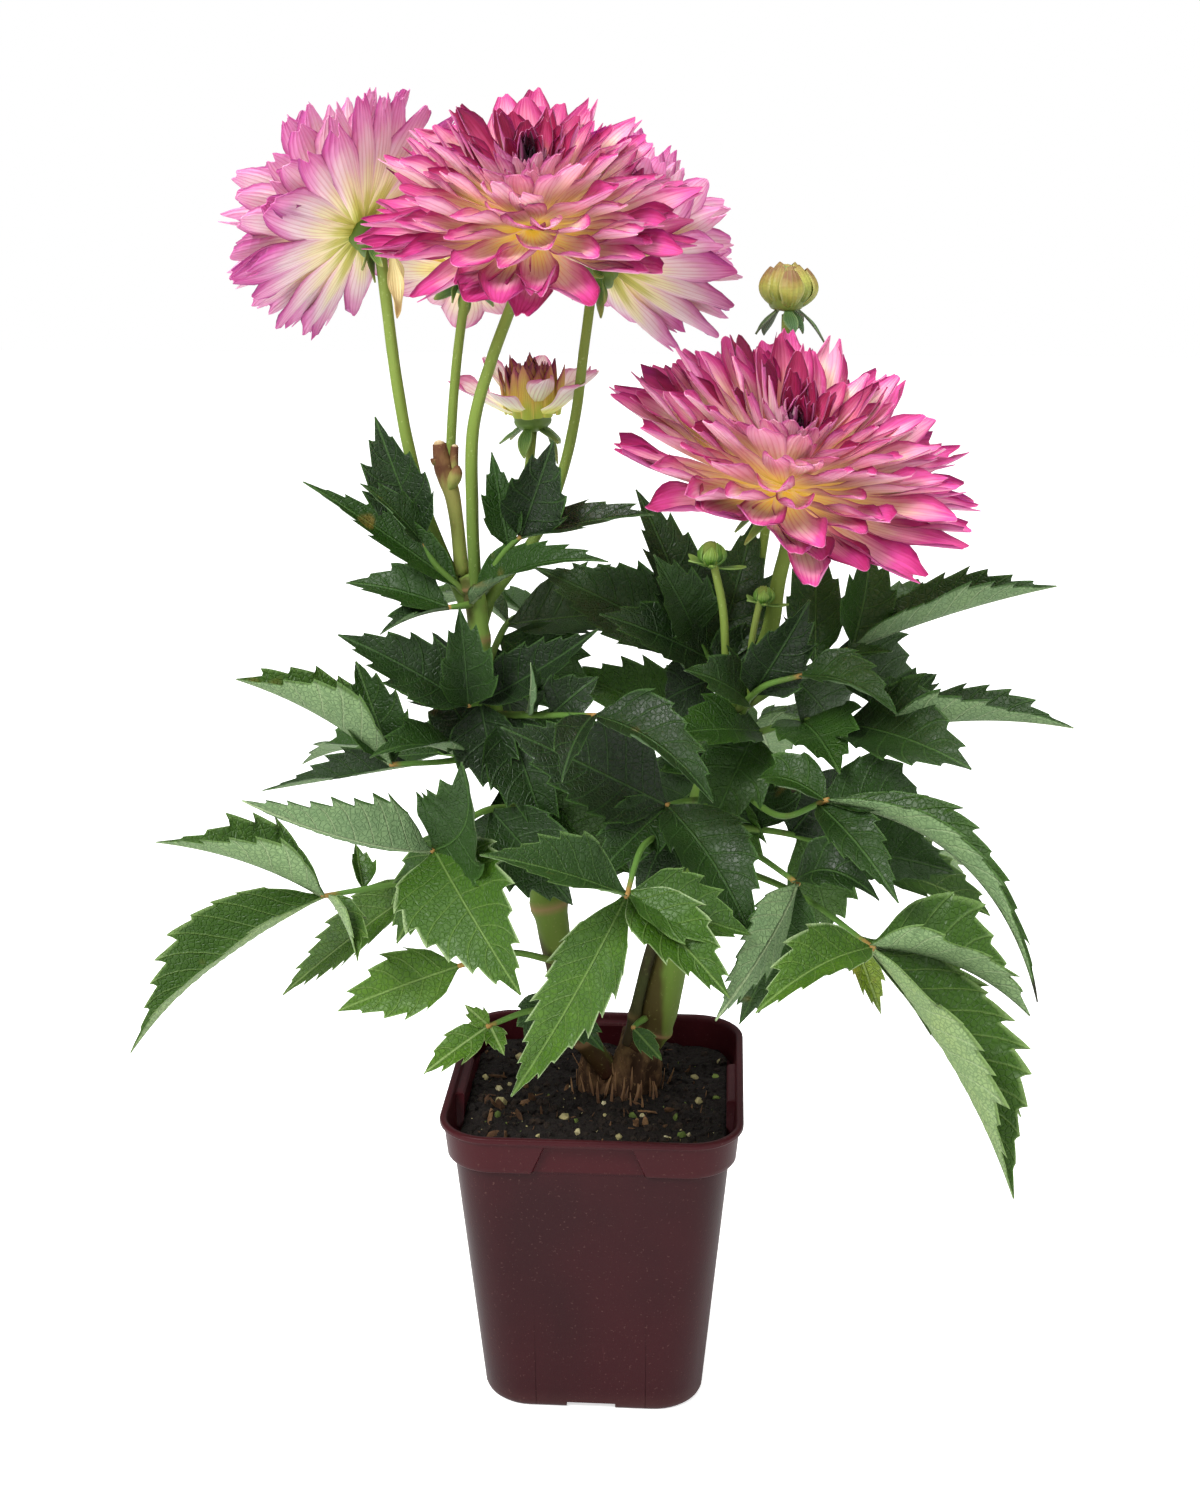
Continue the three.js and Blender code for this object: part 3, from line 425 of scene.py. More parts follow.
palePetalFinish = petalMaterial("palePetal", {
    **pinkLook,
    "outer": [(0.0, "#d8c858"), (0.2, "#f0dc9c"), (0.42, "#f4dcd0"), (0.62, "#ecb4cc"), (0.8, "#c8609e"),
        (1.0, "#962c70")],
    "under": [(0.0, "#8f8f34"), (0.14, "#bcb85c"), (0.3, "#ecdcb0"), (0.5, "#f0ccd4"), (0.7, "#dc8cba"),
        (0.85, "#b84890"), (1.0, "#902474")],
    "underShare": 0.95,
})
openingFinish = petalMaterial("openingPetal", {
    **pinkLook,
    "outer": [(0.0, "#a4b434"), (0.24, "#dcd878"), (0.42, "#f6f0d4"), (0.7, "#f4dce0"), (0.86, "#dc86ae"),
        (1.0, "#b84684")],
    "inner": [(0.0, "#8f9c34"), (0.4, "#c2a84a"), (0.62, "#b98852"), (0.8, "#8a3550"), (1.0, "#431431")],
    "under": [(0.0, "#9cb034"), (0.3, "#cfc66a"), (0.55, "#ddc28c"), (0.75, "#c27488"), (1.0, "#7a2a5c")],
    "rimShare": 0.4, "innerRows": (0.35, 0.5), "eyeRows": (0.97, 0.99), "underShare": 0.1,
})


def bractMaterial(name, look):
    material, tree, shader = newMaterial(name, Specular_IOR_Level=0.4)
    u, v, seed = parts(tree, attribute(tree, "petalPlace", "Vector"))
    grain = noiseField(tree, 260.0, 4.0)
    tint = ramp(tree, u + (seed - 0.5) * 0.4 + (grain - 0.5) * 0.4, look["along"])
    edge = v.abs().step(0.7, 1.0)
    tint = mixColour(tree, edge * look["edgeShare"], tint, look["edge"])
    ribs = effect(tree, ribEffect, "Height", Place=v, Count=look.get("ribs", 3.0))
    tint = mixColour(tree, ribs.step(0.6, 1.0) * 0.3, tint, look["rib"])
    rough = 0.4 + grain * 0.25
    wire(tree, shader, Base_Color=tint, Roughness=rough, Normal=bump(tree, ribs + grain, 0.0003, 0.5))
    return material


calyxFinish = bractMaterial("calyx", {
    "along": [(0.0, "#4a6a28"), (0.3, "#44652c"), (0.7, "#5f7a34"), (1.0, "#96984a")],
    "edge": "#93a860", "edgeShare": 0.5, "rib": "#37602c",
})
darkBractFinish = bractMaterial("darkBract", {
    "along": [(0.0, "#55743a"), (0.5, "#46653a"), (1.0, "#3d5a36")], "edge": "#8a9c6a", "edgeShare": 0.4,
    "rib": "#6a8450",
})
dryBractFinish = bractMaterial("dryBract", {
    "along": [(0.0, "#c9bd84"), (0.5, "#d8c890"), (0.85, "#b79a62"), (1.0, "#4a3a28")],
    "edge": "#b49a5c", "edgeShare": 0.6, "rib": "#a58c55",
})
budFinish = bractMaterial("budScale", {
    "along": [(0.0, "#5f7c30"), (0.3, "#8a9a40"), (0.6, "#a3a34a"), (0.84, "#94803e"), (1.0, "#7c5a34")],
    "edge": "#bcc074", "edgeShare": 0.5, "rib": "#7c8236", "ribs": 2.5,
})


budCoreFinish = bractMaterial("budCore", {
    "along": [(0.0, "#6f8236"), (1.0, "#8f9440")], "edge": "#8f9440", "edgeShare": 0.1, "rib": "#6f7a34",
})
greenScaleFinish = bractMaterial("greenScale", {
    "along": [(0.0, "#3f6620"), (0.5, "#567f26"), (1.0, "#80a044")], "edge": "#9ab868", "edgeShare": 0.5,
    "rib": "#3a5e1c",
})
cupFinish = bractMaterial("calyxCup", {
    "along": [(0.0, "#5c762c"), (1.0, "#84903a")], "edge": "#8a9c4c", "edgeShare": 0.1, "rib": "#5c7a2c",
})
fibreFinish = bractMaterial("rootFibre", {
    "along": [(0.0, "#3c281c"), (0.5, "#70503a"), (1.0, "#a07a54")], "edge": "#9a7652", "edgeShare": 0.4,
    "rib": "#4a3424",
})


def veinNet(tree):  # fine net of small veins as a mask, in metres of the piece
    place = objectPlace(tree)
    node = addNode(tree, "ShaderNodeTexVoronoi", {"feature": "DISTANCE_TO_EDGE"}, Vector=place, Scale=520.0)
    return 1.0 - signal(node, "Distance").step(0.02, 0.16)


def leafMaterial(name, look):
    material, tree, shader = newMaterial(name, Specular_IOR_Level=0.36)
    across, vein, seed = parts(tree, attribute(tree, "leafPlace", "Vector"))
    tone = attribute(tree, "leafTone")
    under = attribute(tree, "leafSide").step(0.3, 0.7)
    share = attribute(tree, "leafShare")
    net = veinNet(tree)
    mottle = noiseField(tree, 90.0, 4.0)
    fine = noiseField(tree, 900.0, 2.0)
    top = ramp(tree, tone + (mottle - 0.5) * 0.3 + (seed - 0.5) * 0.34 + (share - 0.5) * 0.1, look["top"])
    below = ramp(tree, tone + (mottle - 0.5) * 0.4, look["below"])
    midrib = 1.0 - across.abs().step(0.2, 0.75)
    side = ((vein + 0.5).fract() - 0.5).abs()
    veins = (1.0 - side.step(0.01, 0.075)) * across.abs().step(0.0, 1.5)
    lines = midrib.math("MAXIMUM", veins * 0.54)
    top = mixColour(tree, net * 0.3, top, look["net"])
    top = mixColour(tree, lines * 0.46, top, ramp(tree, tone, look["topVein"]))
    below = mixColour(tree, net * 0.5, below, look["netBelow"])
    below = mixColour(tree, lines * 0.7, below, look["belowVein"])
    # pale margin on the upper surface: partly the leaflet's own paler edge, partly a painted highlight along
    # the rolled margin
    edge = attribute(tree, "leafEdge").step(0.92, 1.0)
    top = mixColour(tree, edge * 0.6, top, ramp(tree, tone, look["edge"]))
    old = tone.step(1.0, 1.1) * 0.18  # an old, yellow leaflet has more spots
    spots = effect(tree, fleckEffect, "Mask", Scale=34.0, Low=0.7 - old, High=0.76 - old)
    spots = spots * noiseField(tree, 300.0, 2.0)
    tint = mixColour(tree, spots * 0.5, mixColour(tree, under, top, below), look["spot"])
    tint = mixColour(tree, share.step(0.92, 0.95) * look["tipShare"], tint, look["tip"])
    rough = (0.34 + mottle * 0.24 + under * 0.26).blend(0.62, lines * 0.5)
    height = (lines * -0.8 + net * -0.25).blend(lines * 1.0 + net * 0.3, under) + fine * 0.15
    wire(tree, shader, Base_Color=tint, Roughness=rough, Normal=bump(tree, height, 0.0009, 0.9))
    return material


leafFinish = leafMaterial("leaf", {
    "top": [(0.0, "#13250c"), (0.35, "#23420d"), (0.62, "#375a0e"), (0.85, "#507518"), (1.0, "#7c9428")],
    "below": [(0.0, "#5f7a54"), (0.5, "#7f9a68"), (1.0, "#98ac6c")],
    "net": "#24440f", "topVein": [(0.0, "#3a5e28"), (0.35, "#4e7431"), (0.6, "#84a254"), (1.0, "#a8c078")],
    "netBelow": "#56764a", "belowVein": "#a8bc8c",
    # the edge colours make a pale margin, partly leaf colour and partly a painted highlight
    "edge": [(0.3, "#446a2a"), (0.52, "#7c9c56"), (0.54, "#b4c896"), (0.58, "#84a45c"), (1.0, "#a4b878")],
    "spot": "#a98036", "tip": "#2a2018", "tipShare": 0.9,
})


def stemMaterial(name, look):
    material, tree, shader = newMaterial(name, Specular_IOR_Level=0.12)
    along = attribute(tree, "along")
    place = objectPlace(tree)
    fibres = effect(tree, grainEffect, "Height", Scale=60.0, Across=9.0, Along=0.7)
    blotch = noiseField(tree, look["blotchScale"], 4.0, 0.6, place, stretch=(1.0, 1.0, 0.45))
    reach = attribute(tree, "share") + (fibres - 0.5) * look.get("fibreShare", 0.3)
    tint = ramp(tree, reach, look["along"])
    mask = blotch.step(*look["blotchRange"])
    foot = attribute(tree, "flank") * 0.9 + 0.68 + (blotch - 0.5) * 3.0 - along * look.get("stainFade", 0.0)
    mask = mask.math("MAXIMUM", foot.step(-0.15, 0.3) * look.get("stain", 0.0))
    tint = mixColour(tree, mask * look["blotchShare"], tint, look["blotch"])
    rings = attribute(tree, "node")
    tint = mixColour(tree, rings * 0.75, tint, look["ring"])
    specks = effect(tree, fleckEffect, "Mask", Scale=700.0, Low=0.62, High=0.72)
    tint = mixColour(tree, specks * 0.35, tint, look["speck"])
    rough = look["rough"] + fibres * 0.25
    normal = bump(tree, fibres * look["relief"], 0.0006, 0.6)
    wire(tree, shader, Base_Color=tint, Roughness=rough, Normal=normal)
    return material


stemFinish = stemMaterial("stem", {
    "along": [(0.0, "#3f2c1c"), (0.05, "#4b4a20"), (0.14, "#566426"), (0.6, "#5c7a30"), (1.0, "#738f42")],
    "blotch": "#361b10", "blotchScale": 28.0, "blotchRange": (0.6, 0.68), "blotchShare": 0.8,
    "fibreShare": 0.16, "stain": 1.0, "stainFade": 23.0, "ring": "#8a6b4c", "speck": "#80804c", "rough": 0.5,
    "relief": 0.6,
})
stubFinish = stemMaterial("leafStub", {
    "along": [(0.0, "#3c3220"), (0.5, "#343a1c"), (1.0, "#4a5a28")],
    "blotch": "#2c1f16", "blotchScale": 60.0, "blotchRange": (0.45, 0.6), "blotchShare": 0.7,
    "ring": "#6a5a38", "speck": "#5c5c34", "rough": 0.6, "relief": 0.8,
})
cutFinish = stemMaterial("cutStem", {
    "along": [(0.0, "#7f8c44"), (0.45, "#8c8a4c"), (0.7, "#7a5c3a"), (1.0, "#63402e")],
    "blotch": "#573426", "blotchScale": 120.0, "blotchRange": (0.5, 0.66), "blotchShare": 0.7,
    "ring": "#4f2e22", "speck": "#a58a5c", "rough": 0.5, "relief": 1.2,
})
pithFinish = stemMaterial("pith", {
    "along": [(0.0, "#8f6f4c"), (0.5, "#b79f78"), (1.0, "#d8c8a4")],
    "blotch": "#7c5a3c", "blotchScale": 240.0, "blotchRange": (0.5, 0.7), "blotchShare": 0.5,
    "ring": "#7c5a3c", "speck": "#e6dcc0", "rough": 0.8, "relief": 2.0,
})
stalkFinish = stemMaterial("stalk", {
    "along": [(0.0, "#587030"), (0.4, "#70853a"), (1.0, "#7e8e46")],
    "blotch": "#647a34", "blotchScale": 80.0, "blotchRange": (0.5, 0.8), "blotchShare": 0.4,
    "ring": "#7c5a4a", "speck": "#a8b878", "rough": 0.4, "relief": 0.5,
})
petioleFinish = stemMaterial("petiole", {
    "along": [(0.0, "#5d6a34"), (0.3, "#5c7c36"), (0.88, "#567a36"), (0.97, "#94743e"), (1.0, "#a07c48")],
    "blotch": "#5d5a34", "blotchScale": 120.0, "blotchRange": (0.55, 0.75), "blotchShare": 0.5,
    "fibreShare": 0.1, "ring": "#8a6b4c", "speck": "#8fa064", "rough": 0.42, "relief": 0.5,
})
barkFinish = stemMaterial("bark", {
    "along": [(0.0, "#3c2a1e"), (0.5, "#70543a"), (1.0, "#6c5638")],
    "blotch": "#2e1d16", "blotchScale": 110.0, "blotchRange": (0.42, 0.58), "blotchShare": 0.85,
    "ring": "#93754e", "speck": "#a98a60", "rough": 0.7, "relief": 2.4,
})


def potMaterial(look):
    material, tree, shader = newMaterial("potPlastic", Specular_IOR_Level=0.14)
    place = objectPlace(tree)
    z = parts(tree, place)[2]
    cloud = noiseField(tree, 14.0, 3.0, 0.5, place)
    grain = noiseField(tree, 1400.0, 2.0, 0.5, place)
    drips = effect(tree, grainEffect, "Height", Scale=30.0, Across=1.0, Along=0.12)
    scratches = effect(tree, grainEffect, "Height", Scale=160.0, Across=1.0, Along=0.05)
    scratches = scratches.step(0.68, 0.74)
    dust = effect(tree, fleckEffect, "Mask", Scale=900.0, Low=0.64, High=0.74)
    dust = dust * noiseField(tree, 18.0, 2.0, 0.5, place)
    tint = ramp(tree, cloud * 0.8 + (drips - 0.5) * 0.3, look["body"])
    band = z.step(0.1136, 0.1142)  # the skirt band and lip, in metres from the ground; mixed halfway to a lighter red, painted light from above
    tint = mixColour(tree, band * 0.5, tint, look["rim"])
    tint = mixColour(tree, (1.0 - z.step(0.0, 0.01)) * cloud * 0.16, tint, look["dust"])
    tint = mixColour(tree, dust * 0.4, tint, look["dust"])
    tint = mixColour(tree, scratches * 0.25, tint, look["scratch"])
    rough = 0.26 + cloud * 0.14 + drips * 0.12 + dust * 0.4 + scratches * 0.15
    normal = bump(tree, grain * 0.5 + cloud * 2.0, 0.0004, 0.25)
    wire(tree, shader, Base_Color=tint, Roughness=rough, Normal=normal)
    return material


potFinish = potMaterial({
    "body": [(0.2, "#2a0d11"), (0.5, "#330f14"), (0.8, "#3d1318")],
    # rim is the lighter red mixed over the skirt band and lip, painted light from above
    "rim": "#421117", "dust": "#7d5f57", "scratch": "#6d3c3b",
})


def soilMaterial(name, look):
    material, tree, shader = newMaterial(name, Specular_IOR_Level=0.3)
    place = objectPlace(tree)
    coarse = noiseField(tree, 320.0, 6.0, 0.7, place)
    crumbs = signal(addNode(tree, "ShaderNodeTexVoronoi", Vector=place, Scale=420.0), "Distance")
    tone = attribute(tree, "grain")
    tint = ramp(tree, coarse * 0.7 + tone * 0.5 + crumbs * 0.2 - 0.2, look["tones"])
    rough = 0.75 + coarse * 0.25
    normal = bump(tree, coarse + crumbs, look["relief"], 0.9)
    wire(tree, shader, Base_Color=tint, Roughness=rough, Normal=normal)
    return material


soilLooks = {
    "soil": {
        "tones": [(0.0, "#0b0807"), (0.45, "#1b1411"), (0.8, "#2f241c"), (1.0, "#4a3a2c")], "relief": 0.0016,
    },
    "perlite": {"tones": [(0.0, "#6d643f"), (0.5, "#a3986c"), (1.0, "#cfc6a4")], "relief": 0.0005},
    "barkChip": {"tones": [(0.0, "#2c1d14"), (0.5, "#5a3f2a"), (1.0, "#8d6b48")], "relief": 0.0006},
    "greenCrumb": {"tones": [(0.0, "#34421e"), (0.5, "#5a6a30"), (1.0, "#7f8f45")], "relief": 0.0005},
}
soilFinishes = [soilMaterial(name, look) for name, look in soilLooks.items()]
soilFinish, perliteFinish, chipFinish, mossFinish = soilFinishes
print("materials made")


# Pot
potShape = {
    "rimWidth": 120.0, "footWidth": 90.0, "height": 130.0, "wall": 1.6, "bandDepth": 16.0, "bandStep": 2.6,
    "lipStep": 1.4, "panelWidth": 44.0, "panelSlant": 5.0, "panelHeight": 12.0, "notchWidth": 20.0,
    "notchHeight": 3.0, "drainRadius": 4.0, "drainOffset": 26.0,
}
panelEdge = 0.47  # where the panel's edge lies among a side's columns


def potOutline(half, corner, z, panel=0.0, inset=0.0):
    # one closed ring of the pot; panel is how much of the recess shows at this height
    p = potShape
    bandBottom = p["height"] - p["bandDepth"]
    outside, step = np.linspace(0.5, 1, 9), [0.458, 0.482]  # columns beside the panel, and at its edge
    flat = np.concatenate([
        np.linspace(-1, -0.5, 9), [-0.482, -0.458], np.linspace(-0.42, 0.42, 15), step, outside,
    ])
    slant = p["panelWidth"] / 2 - p["panelSlant"] * np.clip((z - bandBottom) / p["panelHeight"], 0, 1)
    straight = half - corner
    inside = np.abs(flat) < panelEdge
    rest = (np.abs(flat) - panelEdge) / (1 - panelEdge)
    beside = np.sign(flat) * (slant + rest * (straight - slant))
    across = np.where(rest < 0.03, flat / panelEdge * slant, beside)
    depth = half + (min(half, potHalf(bandBottom) + 0.2 - inset) - half) * panel * inside
    angles = np.linspace(-math.pi / 2, 0, 12)[1:-1]
    x = np.concatenate([across, straight + corner * np.cos(angles)])
    y = np.concatenate([-depth, -straight + corner * np.sin(angles)])
    ring = []
    for side in range(4):
        c, s = math.cos(side * math.pi / 2), math.sin(side * math.pi / 2)
        ring.append(np.stack([x * c - y * s, x * s + y * c, np.full(len(x), z)], -1))
    return np.concatenate(ring)


def potHalf(z):
    wallTop = potShape["rimWidth"] / 2 - potShape["lipStep"] - potShape["bandStep"]
    return potShape["footWidth"] / 2 + (wallTop - potShape["footWidth"] / 2) * z / potShape["height"]


def potCorner(z):
    return 20 - 3 * z / potShape["height"]


def makePot():
    p = potShape
    step, wall = p["bandStep"], p["wall"]
    # from the foot's inside to the lip and down inside: half width, corner, height, panel, inset
    rings = [(38.0, 13.0, 4.0), (38.0, 13.0, 1.0), (38.6, 13.6, 0.2), (39.4, 14.4, 0.0)]
    rings += [(42.6, 17.6, 0.0), (43.8, 18.8, 0.35), (44.7, 19.6, 1.2)]
    rings += [(potHalf(z), potCorner(z), z) for z in (2.4, 4, 8, 14, 24, 40, 60, 80, 98, 108, 111.6, 112.6)]
    bandFoot = [(112.95, 0.0), (113.15, 0.12), (113.5, 0.55), (113.9, 0.9)]
    bandFoot += [(z, 1.0) for z in (114.4, 116, 119, 122, 124.2)]
    rings += [(potHalf(z) + step * share, potCorner(z) + 2 * share, z, 1.0) for z, share in bandFoot]
    panelTop = [(124.8, 0.96), (125.3, 0.7), (125.7, 0.3), (126.1, 0.05), (126.4, 0.0)]
    rings += [(potHalf(z) + step, potCorner(z) + 2, z, share) for z, share in panelTop]
    rings += [(58.5, 19.4, 127.0), (58.75, 19.7, 127.3), (59.6, 20.5, 127.5), (60.0, 20.9, 128.0)]
    rings += [(60.0, 20.9, 129.1), (59.85, 20.8, 129.6), (59.4, 20.4, 129.95), (58.7, 19.8, 130.0)]
    rings += [(57.9, 19.0, 129.9), (57.3, 18.4, 129.5), (57.0, 18.1, 128.6), (56.8, 18.0, 127.9)]
    inside = [(127.4, 0.1), (127.0, 0.8), (126.2, 1.0), (122, 1.0), (115, 1.0)]
    rings += [(potHalf(z) + step - wall, potCorner(z) + 1, z, share, wall) for z, share in inside]
    rings += [(potHalf(z) - wall, potCorner(z) - wall, z) for z in (112.8, 100, 60, 20, 6)]
    loops = [potOutline(*ring) for ring in rings]
    faces = gridFaces(len(loops), len(loops[0]), True)
    data = meshFrom("potBody", np.concatenate(loops) * mm, faces, [potFinish])
    edit = bmesh.new()
    edit.from_mesh(data)
    bmesh.ops.holes_fill(edit, edges=[e for e in edit.edges if e.is_boundary], sides=0)
    bmesh.ops.recalc_face_normals(edit, faces=edit.faces)
    edit.to_mesh(data)
    edit.free()
    cutters = bmesh.new()
    for quarter in range(4):
        turn = Matrix.Rotation(quarter * math.pi / 2, 4, "Z")
        size = Matrix.Diagonal((p["notchWidth"] * mm, 30 * mm, 2 * p["notchHeight"] * mm, 1))
        shift = Matrix.Translation((0, p["footWidth"] / 2 * mm, 0))
        bmesh.ops.create_cube(cutters, size=1.0, matrix=turn @ shift @ size)
        shift = Matrix.Translation((p["drainOffset"] * mm, 0, 5 * mm))
        radius = p["drainRadius"] * mm
        bmesh.ops.create_cone(
            cutters, cap_ends=True, segments=28, radius1=radius, radius2=radius, depth=12 * mm,
            matrix=turn @ Matrix.Rotation(math.pi / 4, 4, "Z") @ shift,
        )
    return cutAway(data, cutters)


def cutAway(data, cutters):
    cutterMesh = bpy.data.meshes.new("cutter")
    cutters.to_mesh(cutterMesh)
    cutters.free()
    whole, tool = linked("whole", data), linked("tool", cutterMesh)
    cut = whole.modifiers.new("cut", "BOOLEAN")
    cut.object, cut.operation, cut.solver = tool, "DIFFERENCE", "EXACT"
    result = plainMesh(whole)
    for one in (whole, tool):
        bpy.data.objects.remove(one)
    result.set_sharp_from_angle(angle=math.radians(38))
    return result


def plainMesh(piece):  # the piece as its modifiers make it
    graph = bpy.context.evaluated_depsgraph_get()
    evaluated = piece.evaluated_get(graph)
    return bpy.data.meshes.new_from_object(evaluated, preserve_all_data_layers=True, depsgraph=graph)


newPiece("pot_shell", makePot(), "pot", "pot")
print("pot made")


# Stems, in millimetres: [x, y, z, radius] from the ground up
stems = {
    "main_stem": {
        "path": [
            [17.5, 4, 140.5, 7.6], [23, 4, 152, 8.2], [28, 4, 176, 8.2], [37, 4, 222, 7.4], [45, 4, 258, 6],
            [55, 2, 292, 4.4],
        ],
        "nodes": [26, 96, 142, 168], "swell": 0.12, "beside": [
            {  # a leaf stalk that grew beside it
                "path": [[12.6, 1, 143, 2.7], [15.4, -1.5, 158, 2.4], [20.5, -3, 182, 2.3],
                    [27, -3, 206, 1.9], [33, -1, 226, 1.6]],
                "nodes": [20], "swell": 0.2, "sides": 16, "seed": 3, "kind": 1,
            },
        ],
    },
    "left_stem": {
        "path": [
            [5, 0, 130, 4.4], [-6, -2, 148, 5], [-14, 0, 172, 5.6], [-19, 0, 200, 6.6], [-24, 1, 226, 5.6],
            [-32, 2, 254, 4.6], [-40, 1, 280, 4], [-45, 0, 306, 3.8], [-47, 0, 328, 4.2], [-49, 0, 338, 4.4],
        ],
        "nodes": [22, 48, 76, 106, 134, 176, 206], "swell": 0.2, "beside": [],
    },
    "cut_stem": {
        "path": [[-52.5, 3, 338, 2.9], [-54, 3, 358, 2.7], [-55.6, 4, 368, 3.0], [-57.6, 3.6, 375, 3.4],
            [-59.4, 3.2, 383, 3.1], [-60, 3, 388, 2.6]],
        "nodes": [36], "swell": 0.12, "beside": [
            {  # a second, thinner stub
                "path": [[-56, 4, 369, 1.6], [-55, 3.4, 377, 1.9], [-54.6, 3.4, 383, 1.7],
                    [-54.2, 3.4, 387, 1.5]],
                "sides": 14, "step": 0.8, "seed": 4,
            },
            {  # the knob at its foot
                "path": [[-56.5, 2, 371, 1.2], [-54.6, 1.4, 375, 2.6], [-53.4, 1.6, 378, 2.2],
                    [-53, 2, 380, 0.7]],
                "sides": 14, "step": 0.8, "seed": 7, "rough": 0.1,
            },
            {  # the pale end of the thick stub, and that of the thin one
                "path": [[-59.95, 3, 387.8, 2.3], [-60.1, 3, 388.7, 1.9], [-60.1, 3, 389.3, 0.9]],
                "sides": 16, "step": 0.4, "seed": 2, "kind": 1, "rough": 0.14,
            },
            {
                "path": [[-54.2, 3.4, 386.8, 1.3], [-54.2, 3.4, 387.7, 0.9]],
                "sides": 12, "step": 0.4, "seed": 3, "kind": 1, "rough": 0.14,
            },
        ],
    },
}
stalks = {
    "front": [
        [-46.5, -2.5, 330, 2.4], [-47, -5, 366, 2.4], [-46, -4, 396, 2.3], [-40, 0, 418, 2.2],
        [-31, 6, 442, 2.1],
    ],
    "left": [[-51, 1, 326, 2.6], [-66, 5, 361, 2.4], [-73, 10, 386, 2.3], [-78, 16, 412, 2.2],
        [-82, 21, 443, 2.2]],
    "hidden": [[-50, 4, 326, 2], [-57, 12, 372, 1.9], [-56, 16, 404, 1.8], [-53, 21, 432, 1.8]],
    "back": [[-45, 3, 324, 2.2], [-22, 12, 356, 2.1], [-15, 16, 374, 2], [-10, 22, 396, 2],
        [-7, 28, 421, 1.9]],
    "half_open": [[-45, 3, 316, 1.8], [-39, 14, 338, 1.8], [-34, 24, 354, 1.8], [-30, 36, 370, 1.8]],
    "right": [[55.5, 1.6, 290, 3.4], [66, 0, 318, 3.2], [69, 0, 338, 2.8], [72, 2, 354, 2.6]],
    "bud": [[56, 5, 288, 2], [62, 22, 338, 1.9], [67, 31, 374, 1.8], [70, 33, 404, 1.8], [70, 34, 434, 1.7]],
}
flowerPlaces = {  # where the petals meet, and the way that the flower faces
    "front": ([-23, -10, 465], [0.03, -0.37, 0.93]),
    "right": ([68.5, -14, 373], [0.16, -0.24, 0.95]),
    "left": ([-90, 25, 464.5], [-0.72, 0.42, 0.56]),
    "back": ([0, 44, 452], [0.45, 0.6, 0.62]),
    "half_open": ([-29, 46, 396], [-0.02, -0.1, 1]),
    "hidden": ([-52, 31, 450], [-0.1, 0.75, 0.6]),
}


def stemBlock(path, nodes=(), swell=0.0, ribs=0.0, seed=0, sides=28, step=1.4, kind=0, rough=0.03):
    def shape(place, angle):
        scale = 1 + ribs * np.cos(angle * 5 + seed)
        for node in nodes:  # a swelling with a fine groove
            swelling, groove = (np.exp(-(((place - node) / width) ** 2)) for width in (3.2, 0.9))
            scale = scale + swell * swelling - 0.05 * groove
        waves = ((2, 0.11), (3, 0.23), (5, 0.37))
        return scale + rough * sum(np.sin(angle * k + place * f + seed * 1.7 + k) for k, f in waves) / 3

    block = tube(path, sides, step, shape, kind)
    along = block["fields"]["along"] / mm
    rings = [np.exp(-(((along - node) / 1.6) ** 2)) for node in nodes]
    block["fields"]["node"] = sum(rings, np.zeros(len(along)))
    return block


def pieceFrom(name, blocks, materials, slot, *nodes):
    whole = joined(blocks)
    fields = whole["fields"]
    shape = (whole["points"], whole["faces"])
    data = meshFrom(name, *shape, materials, fields, whole["kinds"], fields.get("edge"))
    newPiece(name, data, slot, *nodes)


def scarBlocks(path, places, size, seed):  # small leaf scars and buds on a stem
    random = np.random.default_rng(seed)
    blocks = []
    path = np.asarray(path, float)
    for place in places:
        at = smoothPath(path, [place, min(place + 0.02, 1)])
        along = unit(at[1, :3] - at[0, :3])
        turn = random.uniform(0, 2 * math.pi)
        side = unit(np.cross(along, [math.cos(turn), math.sin(turn), 0.1]))
        start = at[0, :3] + side * at[0, 3] * 0.7
        end = start + side * size * 0.9 + along * size * 1.1
        knob = [[*start, size * 0.55], [*(start + end) / 2, size * 0.6], [*end, size * 0.12]]
        blocks.append(stemBlock(knob, sides=10, step=0.8, seed=seed))
    return blocks


for name, stem in stems.items():
    length = sum(math.dist(a[:3], b[:3]) for a, b in zip(stem["path"], stem["path"][1:]))
    blocks = [stemBlock(stem["path"], stem["nodes"], stem["swell"], seed=len(name))]
    blocks += scarBlocks(stem["path"], [(n + 2) / length for n in stem["nodes"]], 2.2, len(name))
    blocks += [stemBlock(**extra) for extra in stem["beside"]]
    finishes = [cutFinish, pithFinish] if name == "cut_stem" else [stemFinish, stubFinish]
    pieceFrom(name + "_skin", blocks, finishes, "stem", name)
for number, (name, path) in enumerate(stalks.items()):
    if name in flowerPlaces:  # up into the flower head
        centre, axis = (np.array(v, float) for v in flowerPlaces[name])
        path = path + [[*(centre - unit(axis) * 9), path[-1][3]]]
    block = stemBlock(path, ribs=0.05, seed=number, sides=16, step=2.2)
    pieceFrom(name + "_flower_stalk", [block], [stalkFinish], "stalk", name + "_stalk")
print("stems made")


# Leaves, in millimetres and degrees: the petiole, and leaflets that start near its end or at a share of it
def leaflet(tip, width, face, arch, fold, tone, **more):  # more is at, bow, wave or dryTip
    return {"tip": tip, "width": width, "face": face, "arch": arch, "fold": fold, "tone": tone, **more}


